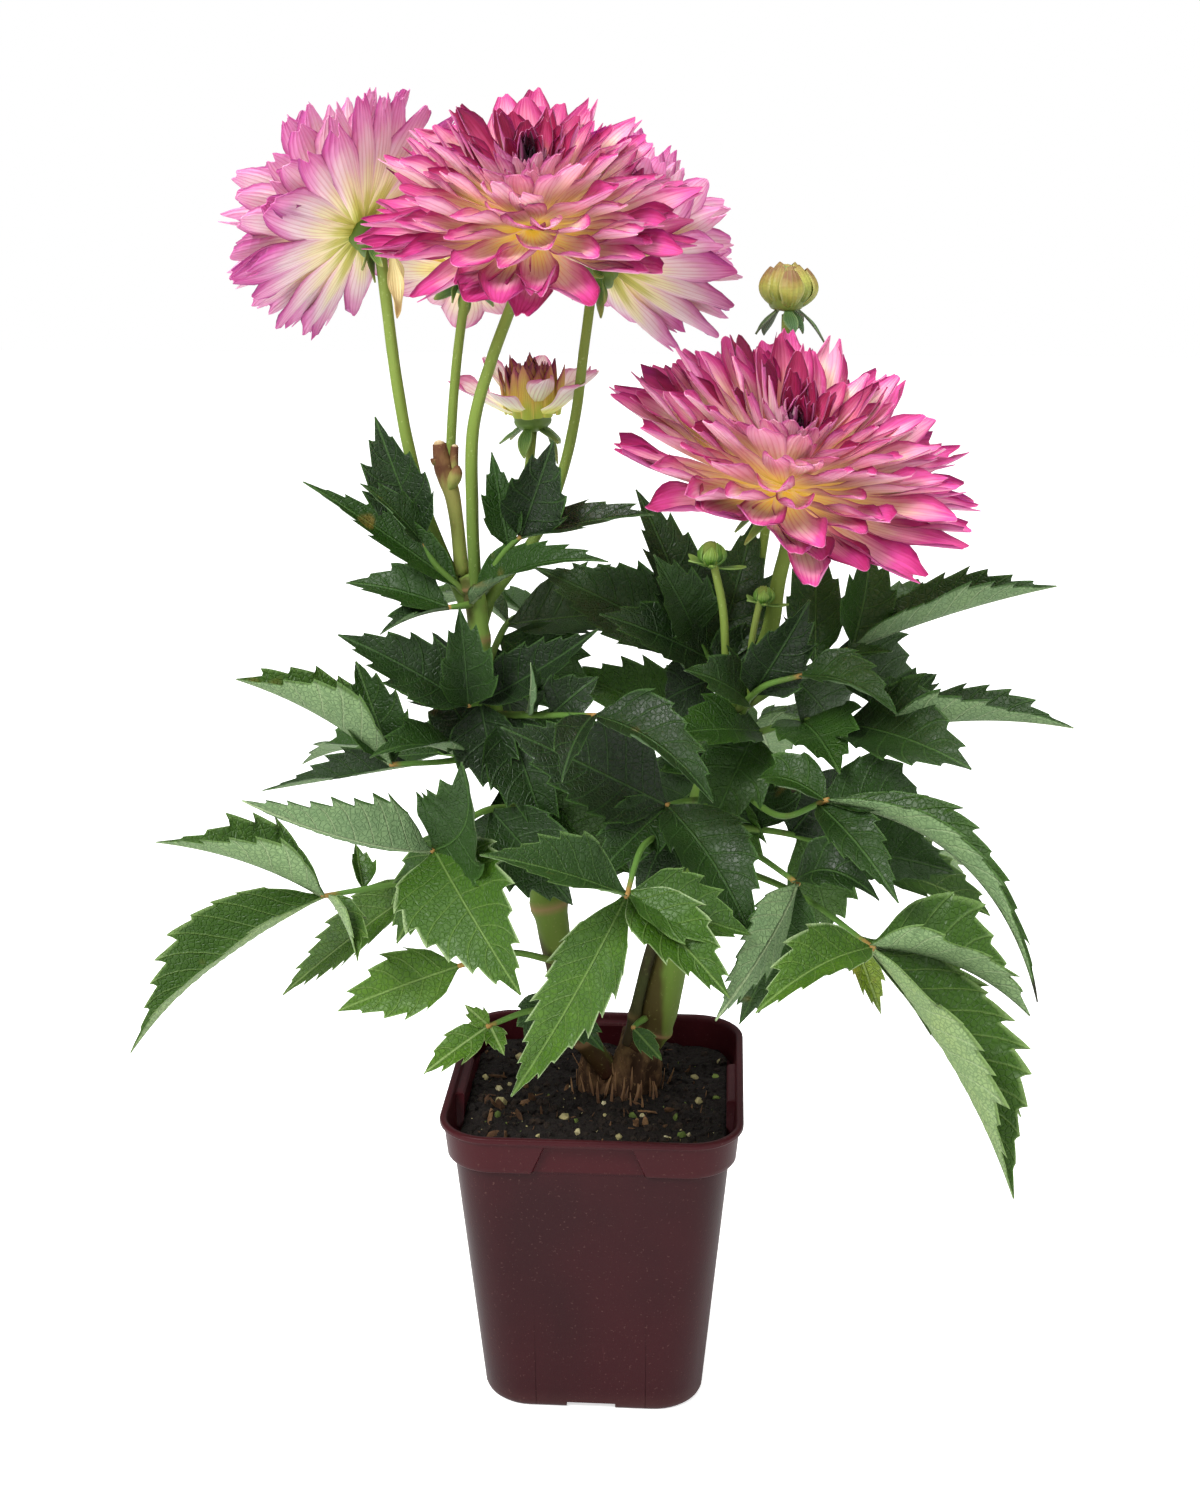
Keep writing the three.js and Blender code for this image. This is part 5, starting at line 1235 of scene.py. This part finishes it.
def makeBladeTree():
    tree, size = newTree("bladeRows", bladeInputs)[:2]
    dots = signal(addNode(tree, "GeometryNodePoints", Count=size["Blades"]), 0)
    index = signal(tree.nodes.new("GeometryNodeInputIndex"))
    place = index / (size["Blades"] - 1.0).math("MAXIMUM", 1.0)
    seed = randomValue(tree, 0.0, 1.0, size["Seed"], index)
    shift = randomValue(tree, -0.16, 0.16, size["Seed"] + 7.0, index)
    turn = index * goldenAngle + shift + size["First Turn"] * degree
    dots = keep(tree, dots, "seat", vector(tree, place, turn, seed))
    block = addNode(
        tree, "GeometryNodeMeshCube",
        Vertices_X=size["Rows Along"], Vertices_Y=size["Rows Across"], Vertices_Z=2,
    )
    copies = addNode(tree, "GeometryNodeInstanceOnPoints", Points=dots, Instance=signal(block, "Mesh"))
    real = addNode(tree, "GeometryNodeRealizeInstances", Geometry=signal(copies, "Instances"))
    blades = signal(real, "Geometry")
    row, turn, seed = parts(tree, kept(tree, "seat"))
    x, y, z = parts(tree, signal(tree.nodes.new("GeometryNodeInputPosition")))
    u = (x + 0.5) ** 0.92
    v = y * 2.0
    a, b, c, d = ((seed * k).fract() - 0.5 for k in (17.31, 47.77, 91.13, 133.7))
    lean = size["Low Lean"] + (size["High Lean"] - size["Low Lean"]) * row ** size["Lean Curve"]
    lean = (lean + a * size["Spread"] - turn.sin() * size["Tilt"]) * degree
    length = size["Blade Length"].blend(size["Inner Length"], row) * (1.0 + b * 0.2)
    half = size["Blade Width"].blend(size["Inner Width"], row) * 0.5 * (1.0 + c * 0.24)
    bend = (size["Bend"].blend(size["Inner Bend"], row) + d * size["Bend Spread"]) * degree
    curl = size["Tip Curl"] * (0.5 + a * 2.0) * u * u * u
    cup = size["Cup"].blend(size["Inner Cup"], row) * (1.0 + b * 0.5) + curl
    cup = (cup * degree).math("MAXIMUM", 0.06)
    swell = size["Base Width"].blend(1.0, u.step(0.0, size["Widest"]))
    past = (u - size["Widest"]).math("MAXIMUM", 0.0) / (1.0 - size["Widest"])
    point = size["Tip Width"] + (1.0 - size["Tip Width"]) * (1.0 - past ** size["Tip Power"])
    width = half * swell * point
    cleft = 1.0 - (v.abs() * 1.6).step(0.0, 1.0) + (v * 5.0 + d * 19.0).cos() * 0.6
    notch = size["Notch"] * (0.6 + a * 1.2) * u.step(0.72, 1.0) * cleft
    ahead = u - notch * 0.06 - v * v * u.step(0.55, 1.0) * size["Round Tip"]
    end = lean + bend
    late = ahead * ahead * 0.5
    out = (ahead - late) * lean.sin() + late * end.sin()
    up = (ahead - late) * lean.cos() + late * end.cos()
    angle = lean + bend * ahead
    arc = v * cup
    thick = z * size["Thickness"] * (1.0 - v * v * 0.55)
    side = width * arc.sin() / cup - thick * arc.sin()
    rise = width * (1.0 - arc.cos()) / cup + thick * arc.cos()
    rise = rise + (u * 9.0 + seed * 40.0 + v * 2.0).sin() * size["Ruffle"] * width * v * v * u
    twist = b * size["Twist"] * 2 * degree * (u - 0.15)
    side, rise = side * twist.cos() - rise * twist.sin(), side * twist.sin() + rise * twist.cos()
    turnBefore, turn = turn, turn + c * size["Sway"] * 2 * degree * u * u
    root = size["Hub Radius"] * (1.0 - row).math("MAXIMUM", 0.0) ** 0.8
    radial = root + out * length - rise * angle.cos()
    height = size["Hub Base"] + size["Hub Rise"] * row + up * length + rise * angle.sin()
    x, y = radial * turn.cos() - side * turn.sin(), radial * turn.sin() + side * turn.cos()
    where = vector(tree, x * mm, y * mm, height * mm)
    # what the colours follow is kept before the points move
    deep = size["First Row"].blend(size["Last Row"], row) + turnBefore.sin() * size["Deep Side"]
    blades = keep(tree, blades, "petalPlace", vector(tree, u, v, seed))
    blades = keep(tree, blades, "petalRow", deep, "FLOAT")
    blades = keep(tree, blades, "petalSide", (z + 0.5).math("GREATER_THAN", 0.5), "FLOAT")
    blades = signal(addNode(tree, "GeometryNodeSetPosition", Geometry=blades, Position=where), "Geometry")
    edges = signal(tree.nodes.new("GeometryNodeInputMeshEdgeAngle"), "Unsigned Angle")
    smooth = addNode(
        tree, "GeometryNodeSetShadeSmooth", {"domain": "EDGE"},
        Geometry=blades, Shade_Smooth=False, Selection=edges.math("GREATER_THAN", 0.9),
    )
    finish(tree, signal(smooth, "Geometry"), size["Finish"])
    return tree


bladeRows = makeBladeTree()


inputPairs = {  # inputs that go together under one name, mostly for the outer row and the inner one
    "lean": ("Low Lean", "High Lean"), "length": ("Blade Length", "Inner Length"),
    "width": ("Blade Width", "Inner Width"), "bend": ("Bend", "Inner Bend"), "cup": ("Cup", "Inner Cup"),
    "hub": ("Hub Radius", "Hub Rise", "Hub Base"), "rows": ("First Row", "Last Row"),
    "grid": ("Rows Along", "Rows Across"), "size": ("Size Low", "Size High"),
}


def inputName(key):  # "tipCurl" as "Tip Curl"
    return "".join(" " + letter if letter.isupper() else letter for letter in key).title()


def grown(tree, name, values, base=None):  # a plain mesh of what the tree makes
    settings = {}
    for key, value in values.items():
        names = inputPairs.get(key)
        settings.update(zip(names, value) if names else {inputName(key): value})
    piece = linked(name, base or bpy.data.meshes.new(name + "Seed"))
    grow = piece.modifiers.new("grow", "NODES")
    grow.node_group = tree
    for item in tree.interface.items_tree:
        if item.item_type == "SOCKET" and item.in_out == "INPUT" and item.name in settings:
            grow[item.identifier] = settings[item.name]
    data = plainMesh(piece)
    bpy.data.objects.remove(piece)
    data.name = name
    return data


def faceOn(centre, axis):  # frame with its third axis along the flower's own, and its second one up
    third = Vector(axis).normalized()
    second = Vector((0, 0, 1)) if abs(third.z) < 0.999 else Vector((0, 1, 0))
    second = (second - third * second.dot(third)).normalized()
    first = second.cross(third)
    turn = Matrix((first, second, third)).transposed().to_4x4()
    return Matrix.Translation(Vector(centre) * mm) @ turn


def bladePiece(name, centre, axis, material, slot, node, values):
    data = grown(bladeRows, name, {**values, "finish": material})
    data.transform(faceOn(centre, axis))
    newPiece(name, data, slot, *([node] if node else []))


outerRows = {
    "lean": (90.0, 50.0), "leanCurve": 1.3, "spread": 8.0, "length": (56.0, 46.0), "width": (18.0, 15.0),
    "bend": (-12.0, -10.0), "bendSpread": 14.0, "cup": (38.0, 50.0), "tipCurl": 30.0, "twist": 14.0,
    "ruffle": 0.26, "notch": 1.3, "hub": (7.0, 6.0, 0.0), "sway": 7.0, "rows": (0.0, 0.55),
    "tipWidth": 0.46, "tipPower": 3.0, "baseWidth": 0.42, "widest": 0.68, "roundTip": 0.06, "grid": (13, 9),
}
innerRows = {
    "lean": (50.0, 2.0), "leanCurve": 0.85, "spread": 8.0, "length": (43.0, 17.0), "width": (14.0, 5.5),
    "bend": (-4.0, -16.0), "bendSpread": 16.0, "cup": (44.0, 80.0), "tipCurl": 30.0, "twist": 14.0,
    "ruffle": 0.2, "notch": 1.1, "hub": (4.5, 5.0, 6.0), "sway": 7.0, "rows": (0.55, 1.0), "tipWidth": 0.42,
    "tipPower": 3.0, "baseWidth": 0.42, "widest": 0.68, "roundTip": 0.06, "grid": (11, 8),
}
flowerHeads = {  # what differs from one flower to the next
    "front": {
        "finish": petalFinish, "calyx": 9.0, "seed": 3,
        "outer": {"blades": 100, "lean": (93.0, 50.0), "tilt": 7.0, "deepSide": 0.12},
        "inner": {"blades": 66, "tilt": 10.0, "length": (41.0, 17.0), "deepSide": 0.08},
    },
    "right": {
        "finish": petalFinish, "calyx": 9.0, "seed": 11,
        "outer": {
            "blades": 104, "lean": (86.0, 50.0), "tilt": 11.0, "length": (67.0, 54.0),
            "width": (19.0, 15.0), "deepSide": 0.1,
        },
        "inner": {"blades": 68, "tilt": 18.0, "length": (47.0, 14.0), "deepSide": 0.06},
    },
    "left": {
        "finish": palePetalFinish, "calyx": 7.0, "seed": 5,
        "outer": {"blades": 84, "lean": (92.0, 50.0), "length": (49.0, 46.0), "width": (15.5, 14.0)},
        "inner": {"blades": 40},
    },
    "back": {
        "finish": palePetalFinish, "calyx": 6.5, "seed": 8,
        "outer": {"blades": 60, "lean": (86.0, 50.0), "length": (46.5, 46.0)},
        "inner": {"blades": 34},
    },
    "half_open": {
        "finish": openingFinish, "calyx": 8.0, "seed": 21,
        "outer": {
            "blades": 8, "lean": (68.0, 58.0), "length": (32.0, 28.0), "width": (14.0, 13.0),
            "bend": (-20.0, -20.0), "cup": (56.0, 56.0), "hub": (7.0, 1.0, -3.6), "firstTurn": 54.0,
            "rows": (0.0, 0.2), "baseWidth": 0.75,
        },
        "inner": {
            "blades": 50, "lean": (9.0, 0.0), "spread": 7.0, "length": (21.0, 18.5), "width": (7.5, 5.5),
            "bend": (-12.0, -4.0), "notch": 0.2, "hub": (11.5, 0.0, -2.0), "rows": (0.7, 0.86),
            "tipWidth": 0.1, "baseWidth": 0.8, "widest": 0.5,
        },
    },
    "hidden": {
        "finish": petalFinish, "calyx": 5.0, "seed": 17,
        "outer": {"blades": 30, "length": (28.0, 25.0)},
        "inner": {"blades": 24, "length": (22.0, 17.0)},
    },
}
calyxBracts = {  # their length and the hub's radius follow each calyx
    "blades": 7, "lean": (142.0, 112.0), "spread": 30.0, "length": (18.0, 14.0), "width": (5.5, 5.5),
    "bend": (10.0, 6.0), "cup": (24.0, 24.0), "tipCurl": 10.0, "twist": 30.0, "ruffle": 0.1, "notch": 0.0,
    "hub": (5.0, 1.0, -7.0), "thickness": 0.8, "tipWidth": 0.1, "baseWidth": 0.5, "widest": 0.45,
    "grid": (9, 5),
}


def calyxCup(name, centre, axis, radius, node):
    third = unit(axis)
    profile = [(-9.2, 2.2), (-8.4, 4.2), (-7.0, 6.2), (-5.4, 7.4), (-3.6, 0.92 * radius)]
    profile += [(-1.8, radius), (0.2, radius), (1.6, 0.84 * radius)]
    path = [[*(np.array(centre) + third * z), r] for z, r in profile]
    block = stemBlock(path, ribs=0.05, sides=30, step=0.7, seed=radius)
    pieceFrom(name + "_calyx_cup", [block], [cupFinish], "calyx", node)


for name, head in flowerHeads.items():
    centre, axis = flowerPlaces[name]
    for rows, base, slot in (("outer", outerRows, "petal"), ("inner", innerRows, "inner_petal")):
        values = {**base, **head[rows], "seed": head["seed"] * 10 + len(rows)}
        node = f"{name}_{rows}_petals"
        bladePiece(f"{name}_{rows}_rows", centre, axis, head["finish"], slot, node, values)
    calyxCup(name, centre, axis, head["calyx"], name + "_calyx")
    hub = (head["calyx"] * 0.62, *calyxBracts["hub"][1:])
    length = (head["calyx"] * 2.0, calyxBracts["length"][1])
    values = {**calyxBracts, "hub": hub, "length": length, "seed": head["seed"]}
    bladePiece(name + "_calyx_bracts", centre, axis, calyxFinish, "calyx", None, values)
print("flowers made")


# Buds
smallBuds = {
    "small_bud_left": {
        "path": [[53, -1, 288, 1.6], [50, -6, 303, 1.6], [48, -6, 328, 1.6], [44, -5, 346, 1.5]],
        "centre": [43, -5, 349], "radius": 5.5,
    },
    "small_bud_right": {
        "path": [[56.5, -1.5, 286, 1.4], [59, -6, 296, 1.4], [59, -8, 314, 1.3], [62, -9, 333, 1.3]],
        "centre": [63, -8, 334], "radius": 4.0,
    },
}
bud = {"centre": [70, 34, 445], "radius": 10.5}
budScales = {
    "blades": 18, "lean": (64.0, 50.0), "spread": 2.0, "length": (24.0, 24.0), "width": (11.0, 10.0),
    "bend": (-112.0, -96.0), "bendSpread": 3.0, "cup": (40.0, 46.0), "tipCurl": 0.0, "twist": 3.0,
    "ruffle": 0.0, "notch": 0.0, "hub": (5.4, 0.6, -8.4), "thickness": 0.7, "tipWidth": 0.55,
    "baseWidth": 0.6, "widest": 0.6,
}
budBracts = {
    "blades": 6, "lean": (132.0, 118.0), "spread": 24.0, "length": (17.0, 14.0), "width": (6.2, 5.6),
    "bend": (16.0, 12.0), "cup": (24.0, 24.0), "tipCurl": 0.0, "twist": 30.0, "ruffle": 0.1, "notch": 0.0,
    "hub": (4.0, 0.6, -8.6), "thickness": 0.8, "tipWidth": 0.08, "baseWidth": 0.35, "widest": 0.5,
    "grid": (10, 7),
}
smallScales = {"blades": 10, "spread": 12.0, "tipWidth": 0.1, "seed": 9}
smallBracts = {"blades": 5, "lean": (100.0, 66.0), "bend": (-30.0, 12.0), "seed": 3}
globe = [  # height and radius
    (-10.0, 1.6), (-9.0, 4.6), (-7.0, 7.6), (-4.0, 9.4), (-0.5, 9.9), (3.0, 9.2), (6.0, 7.2), (7.8, 4.4),
    (8.6, 1.2),
]
budCore = [
    (-9.7, 1.7), (-9.2, 4.8), (-7.5, 6.6), (-3.0, 7.4), (2.0, 7.0), (5.5, 5.4), (7.0, 3.0), (7.6, 0.9),
]
path = [[bud["centre"][0], bud["centre"][1], bud["centre"][2] + z, r] for z, r in budCore]
pieceFrom("bud_core", [stemBlock(path, ribs=0.02, sides=28, step=0.8)], [budCoreFinish], "bud", "bud")
bladePiece("bud_scales", bud["centre"], (0, 0, 1), budFinish, "bud", None, {**budScales, "seed": 4})
values = {**budBracts, "seed": 6}
bladePiece("bud_drooping_bracts", bud["centre"], (0, 0, 1), darkBractFinish, "calyx", "bud_bracts", values)


def scaled(values, factor):  # the same blades in another size
    return {**values, **{key: [v * factor for v in values[key]] for key in ("length", "width", "hub")}}


for name, one in smallBuds.items():
    radius, centre = one["radius"], one["centre"]
    globePath = [[centre[0], centre[1], centre[2] + z / 10 * radius, r / 14 * radius] for z, r in globe]
    core = [stemBlock(one["path"], sides=12), stemBlock(globePath, ribs=0.04, sides=20, step=0.6)]
    pieceFrom(name + "_core", core, [stalkFinish], "calyx", name)
    scale = radius / bud["radius"]
    values = {**scaled(budScales, scale), **smallScales}
    bladePiece(name + "_scales", centre, (0, 0, 1), greenScaleFinish, "calyx", None, values)
    values = {**scaled(budBracts, scale * 1.2), **smallBracts}
    bladePiece(name + "_bracts", centre, (0, 0, 1), greenScaleFinish, "calyx", None, values)
print("buds made")


# Soil and what lies in it
soilShape = {"bottom": 6.4, "top": 118.5, "lump": 2.6, "grid": 96, "gap": 0.15, "corner": 19.0}


def soilTop(x, y):
    place = Vector((x * 0.06, y * 0.06, 3.1))
    small = Vector((x * 0.35, y * 0.35, 7.7))
    mound = 4.5 * math.exp(-((x - 12) ** 2 + (y - 4) ** 2) / 420)
    lumps = soilShape["lump"] * noise.fractal(place, 0.8, 2.0, 3)
    return soilShape["top"] + mound + lumps + 0.8 * noise.fractal(small, 0.7, 2.2, 4)


def makeSoil():
    count = soilShape["grid"]
    line = np.linspace(-1, 1, count)
    inset = potShape["wall"] + soilShape["gap"]
    half, corner = potHalf(soilShape["top"]) - inset, soilShape["corner"]
    points = []
    for b in line:
        for a in line:
            x, y = a * half, b * half
            reach = max(abs(x), abs(y))
            over = np.array([max(abs(x) - (half - corner), 0), max(abs(y) - (half - corner), 0)])
            if over.min() > 0:  # drawn in to the rounded corner
                pull = corner * over.max() / np.linalg.norm(over) / max(over.max(), 1e-6)
                x = math.copysign(half - corner + over[0] * pull, x)
                y = math.copysign(half - corner + over[1] * pull, y)
            points.append([x, y, soilTop(x, y) if reach < half * 0.995 else soilTop(x, y) - 0.6])
    points = np.array(points)
    rim = list(range(count)) + [j * count + count - 1 for j in range(1, count)]
    rim += [(count - 1) * count + j for j in range(count - 2, -1, -1)]
    rim += [j * count for j in range(count - 2, 0, -1)]
    rings, faces = [points], [gridFaces(count, count)]
    start, last = len(points), np.array(rim)
    for z in (100, 60, 20, soilShape["bottom"]):
        scale = (potHalf(z) - inset) / half
        ring = points[rim] * [scale, scale, 0] + [0, 0, z]
        rings.append(ring)
        now = np.arange(len(rim)) + start
        faces.append(np.stack([now, np.roll(now, -1), np.roll(last, -1), last], -1))
        last, start = now, start + len(rim)
    rings.append(np.array([[0, 0, soilShape["bottom"]]]))
    faces.append(np.stack([np.full(len(rim), start), np.roll(last, -1), last, np.full(len(rim), -1)], -1))
    points = np.concatenate(rings)
    grain = {"grain": np.full(len(points), 0.3)}
    return meshFrom("soilBlock", points * mm, np.concatenate(faces), [soilFinish], grain)


soilMesh = makeSoil()
newPiece("soil_block", soilMesh, "soil", "soil")


def makeGritTree():
    inputs = {
        "Density": 9000.0, "Size Low": 0.5, "Size High": 2.0, "Flatness": 1.0, "Reach": 1.0, "Roughness": 0.3,
        "Half Width": 53.0, "Seed": 0, "Finish": None,
    }
    tree, size, entry = newTree("gritOnSoil", inputs, takesMesh=True)
    x, y = parts(tree, signal(tree.nodes.new("GeometryNodeInputPosition")))[:2]
    side, corner = x.abs().math("MAXIMUM", y.abs()), (x.abs() + y.abs()) * 0.56
    spare = size["Half Width"] - size["Size High"] * size["Reach"]  # keeps the bits off the pot's wall
    inside = (side.math("MAXIMUM", corner) * 1000.0).math("LESS_THAN", spare)
    up = parts(tree, signal(tree.nodes.new("GeometryNodeInputNormal")))[2]
    ground = Signal(tree, entry.outputs["Geometry"])
    spots = addNode(
        tree, "GeometryNodeDistributePointsOnFaces", Mesh=ground,
        Density=size["Density"], Seed=size["Seed"], Selection=up.math("GREATER_THAN", 0.45) * inside,
    )
    index = signal(tree.nodes.new("GeometryNodeInputIndex"))
    bit = addNode(tree, "GeometryNodeMeshIcoSphere", Radius=0.001, Subdivisions=1)
    amount = randomValue(tree, 0.0, 1.0, size["Seed"] + 3.0, index) ** 2.5
    scale = size["Size Low"] + (size["Size High"] - size["Size Low"]) * amount
    shape = vector(tree, scale * size["Reach"], scale, scale * size["Flatness"])
    turns = [randomValue(tree, 0.0, 6.28, size["Seed"] + k, index) for k in (11.0, 12.0, 13.0)]
    bits = addNode(
        tree, "GeometryNodeInstanceOnPoints",
        Points=signal(spots, "Points"), Instance=signal(bit, "Mesh"),
        Rotation=vector(tree, *turns), Scale=shape,
    )
    tone = randomValue(tree, 0.0, 1.0, size["Seed"] + 5.0, index)
    bits = keep(tree, signal(bits, "Instances"), "grain", tone, "FLOAT", "INSTANCE")
    solid = signal(addNode(tree, "GeometryNodeRealizeInstances", Geometry=bits), "Geometry")
    rough = signal(addNode(tree, "ShaderNodeTexNoise", Scale=700.0, Detail=2.0), "Color")
    centre = addNode(tree, "ShaderNodeVectorMath", {"operation": "SUBTRACT"})
    feed(tree, centre.inputs[0], rough)
    feed(tree, centre.inputs[1], (0.5, 0.5, 0.5))
    push = addNode(tree, "ShaderNodeVectorMath", {"operation": "SCALE"})
    feed(tree, push.inputs[0], signal(centre))
    feed(tree, push.inputs["Scale"], size["Roughness"] * 0.004)
    moved = addNode(tree, "GeometryNodeSetPosition", Geometry=solid, Offset=signal(push))
    flat = addNode(tree, "GeometryNodeSetShadeSmooth", Geometry=signal(moved, "Geometry"), Shade_Smooth=False)
    finish(tree, signal(flat, "Geometry"), size["Finish"])
    return tree


gritTree = makeGritTree()
gritKinds = {
    "crumbs": {"density": 110000.0, "size": (0.4, 2.2), "roughness": 0.35, "seed": 1, "finish": soilFinish},
    "perlite": {
        "density": 8000.0, "size": (0.25, 2.9), "roughness": 0.45, "seed": 2, "finish": perliteFinish,
    },
    "bark_chips": {
        "density": 9000.0, "size": (0.4, 2.2), "reach": 3.0, "flatness": 0.4, "seed": 3, "finish": chipFinish,
    },
    "pale_straws": {
        "density": 4000.0, "size": (0.14, 0.34), "reach": 16.0, "flatness": 0.9, "roughness": 0.05, "seed": 4,
        "finish": chipFinish,
    },
    "green_crumbs": {"density": 3200.0, "size": (0.3, 2.4), "flatness": 0.5, "seed": 5, "finish": mossFinish},
}
for name, values in gritKinds.items():
    newPiece("soil_" + name, grown(gritTree, name, values, soilMesh), "soil")
print("soil made")


# Root crown
crownPath = [
    [12, 5, 112, 13.5], [12, 4, 118, 12.6], [13, 4, 124, 10.4], [15, 4, 131, 9.0], [17, 4, 138, 8.4],
    [18.6, 4, 145, 7.8],
]
stumpPath = [
    [0, 4, 112, 8.6], [-1, 4, 119, 7.0], [-1.6, 5, 126, 6.0], [-2.2, 7, 133, 5], [-2.6, 8, 139, 3.2],
    [-3, 9, 143, 1],
]
crown = stemBlock(crownPath, ribs=0.1, sides=56, step=0.7, seed=2, rough=0.26)
stump = stemBlock(stumpPath, ribs=0.1, sides=40, step=0.7, seed=5, rough=0.24)
pieceFrom("crown_wood", [crown, stump], [barkFinish], "bark", "root_crown")
crownFibres = {
    "blades": 190, "lean": (12.0, -16.0), "spread": 30.0, "length": (18.0, 20.0), "width": (1.5, 1.0),
    "bend": (-34.0, -4.0), "bendSpread": 40.0, "cup": (40.0, 40.0), "tipCurl": 0.0, "twist": 60.0,
    "ruffle": 0.5, "notch": 0.0, "hub": (14.5, 11.0, -3.0), "tipWidth": 0.1, "baseWidth": 0.7,
    "widest": 0.4, "grid": (9, 3),
}
bladePiece("crown_fibres", [12, 4.4, 113], (0.1, 0, 1), fibreFinish, "bark", None,
    {**crownFibres, "seed": 12})
stumpFibres = {**crownFibres, "blades": 80, "length": (15.0, 20.0), "hub": (8.4, 6.0, -3.0)}
bladePiece("stump_fibres", [-1, 5, 114], (-0.08, 0.14, 1), fibreFinish, "bark", None,
    {**stumpFibres, "seed": 14})
print("root crown made")


# Dry bract that hangs at the left flower
dryBract = {
    "blades": 2, "lean": (168.0, 160.0), "spread": 8.0, "length": (27.0, 17.0), "width": (7.5, 6.0),
    "bend": (-20.0, 10.0), "cup": (60.0, 60.0), "tipCurl": 60.0, "twist": 70.0, "ruffle": 0.5, "notch": 0.0,
    "hub": (2.0, 2.0, 0.0), "thickness": 0.35, "firstTurn": -70.0, "tipWidth": 0.05, "baseWidth": 0.4,
    "widest": 0.4, "grid": (14, 7),
}
bladePiece("left_dry_bracts", [-78, 14, 456], (0, 0, 1), dryBractFinish, "calyx", None,
    {**dryBract, "seed": 2})


# Floor, light and camera
white = (1, 1, 1, 1)
floorFinish, floorTree, floorShader = newMaterial(
    "paleFloor", Specular_IOR_Level=0.1, Roughness=0.9, Emission_Color=white
)
seen = signal(addNode(floorTree, "ShaderNodeLightPath"), "Is Camera Ray") * 0.6
floorTint = ramp(floorTree, noiseField(floorTree, 3.0, 4.0), [(0.3, "#fbfbfa"), (0.7, "#ffffff")])
wire(floorTree, floorShader, Emission_Strength=seen, Base_Color=floorTint)
corners = [[-4, -4, 0], [4, -4, 0], [4, 4, 0], [-4, 4, 0]]
floor = linked("floor", meshFrom("floor", corners, [[0, 1, 2, 3]], [floorFinish]))

world = bpy.data.worlds.new("studio")
scene.world = world
world.use_nodes = True
sky = world.node_tree
ray = sky.nodes.new("ShaderNodeLightPath")  # white behind the plant, softer as light, softest in reflections
strength = signal(ray, "Is Camera Ray").math("MAXIMUM", 0.64 - signal(ray, "Is Glossy Ray") * 0.3)
wire(sky, sky.nodes["Background"], Strength=strength, Color=white)
scene.view_settings.view_transform = "Standard"
scene.view_settings.look = "None"
lampSettings = {
    "keyLamp": {"place": (-0.9, -1.2, 1.7), "size": 0.8, "power": 42.0},
    "fillLamp": {"place": (1.3, -0.9, 0.9), "size": 1.6, "power": 6.0},
    "topLamp": {"place": (0.1, 0.3, 2.0), "size": 1.6, "power": 24.0},
}
for name, lamp in lampSettings.items():
    data = bpy.data.lights.new(name, "AREA")
    data.shape, data.size, data.energy = "DISK", lamp["size"], lamp["power"]
    light = linked(name, data)
    light.location = lamp["place"]
    aim = Vector((0, 0, 0.25)) - light.location
    light.rotation_euler = aim.to_track_quat("-Z", "Y").to_euler()

view = {"place": (0.04825, -0.74652, 0.50068), "turn": 3.624, "fall": 17.198, "lens": 47.95}
turn, fall = math.radians(view["turn"]), math.radians(view["fall"])
back = Vector((math.sin(turn) * math.cos(fall), -math.cos(turn) * math.cos(fall), math.sin(fall)))
lens = bpy.data.cameras.new("camera")
lens.lens, lens.sensor_width, lens.sensor_fit = view["lens"], 36.0, "AUTO"
lens.clip_start, lens.clip_end = 0.01, 20.0
camera = linked("camera", lens)
camera.location = view["place"]
camera.rotation_euler = (-back).to_track_quat("-Z", "Y").to_euler()
scene.camera = camera
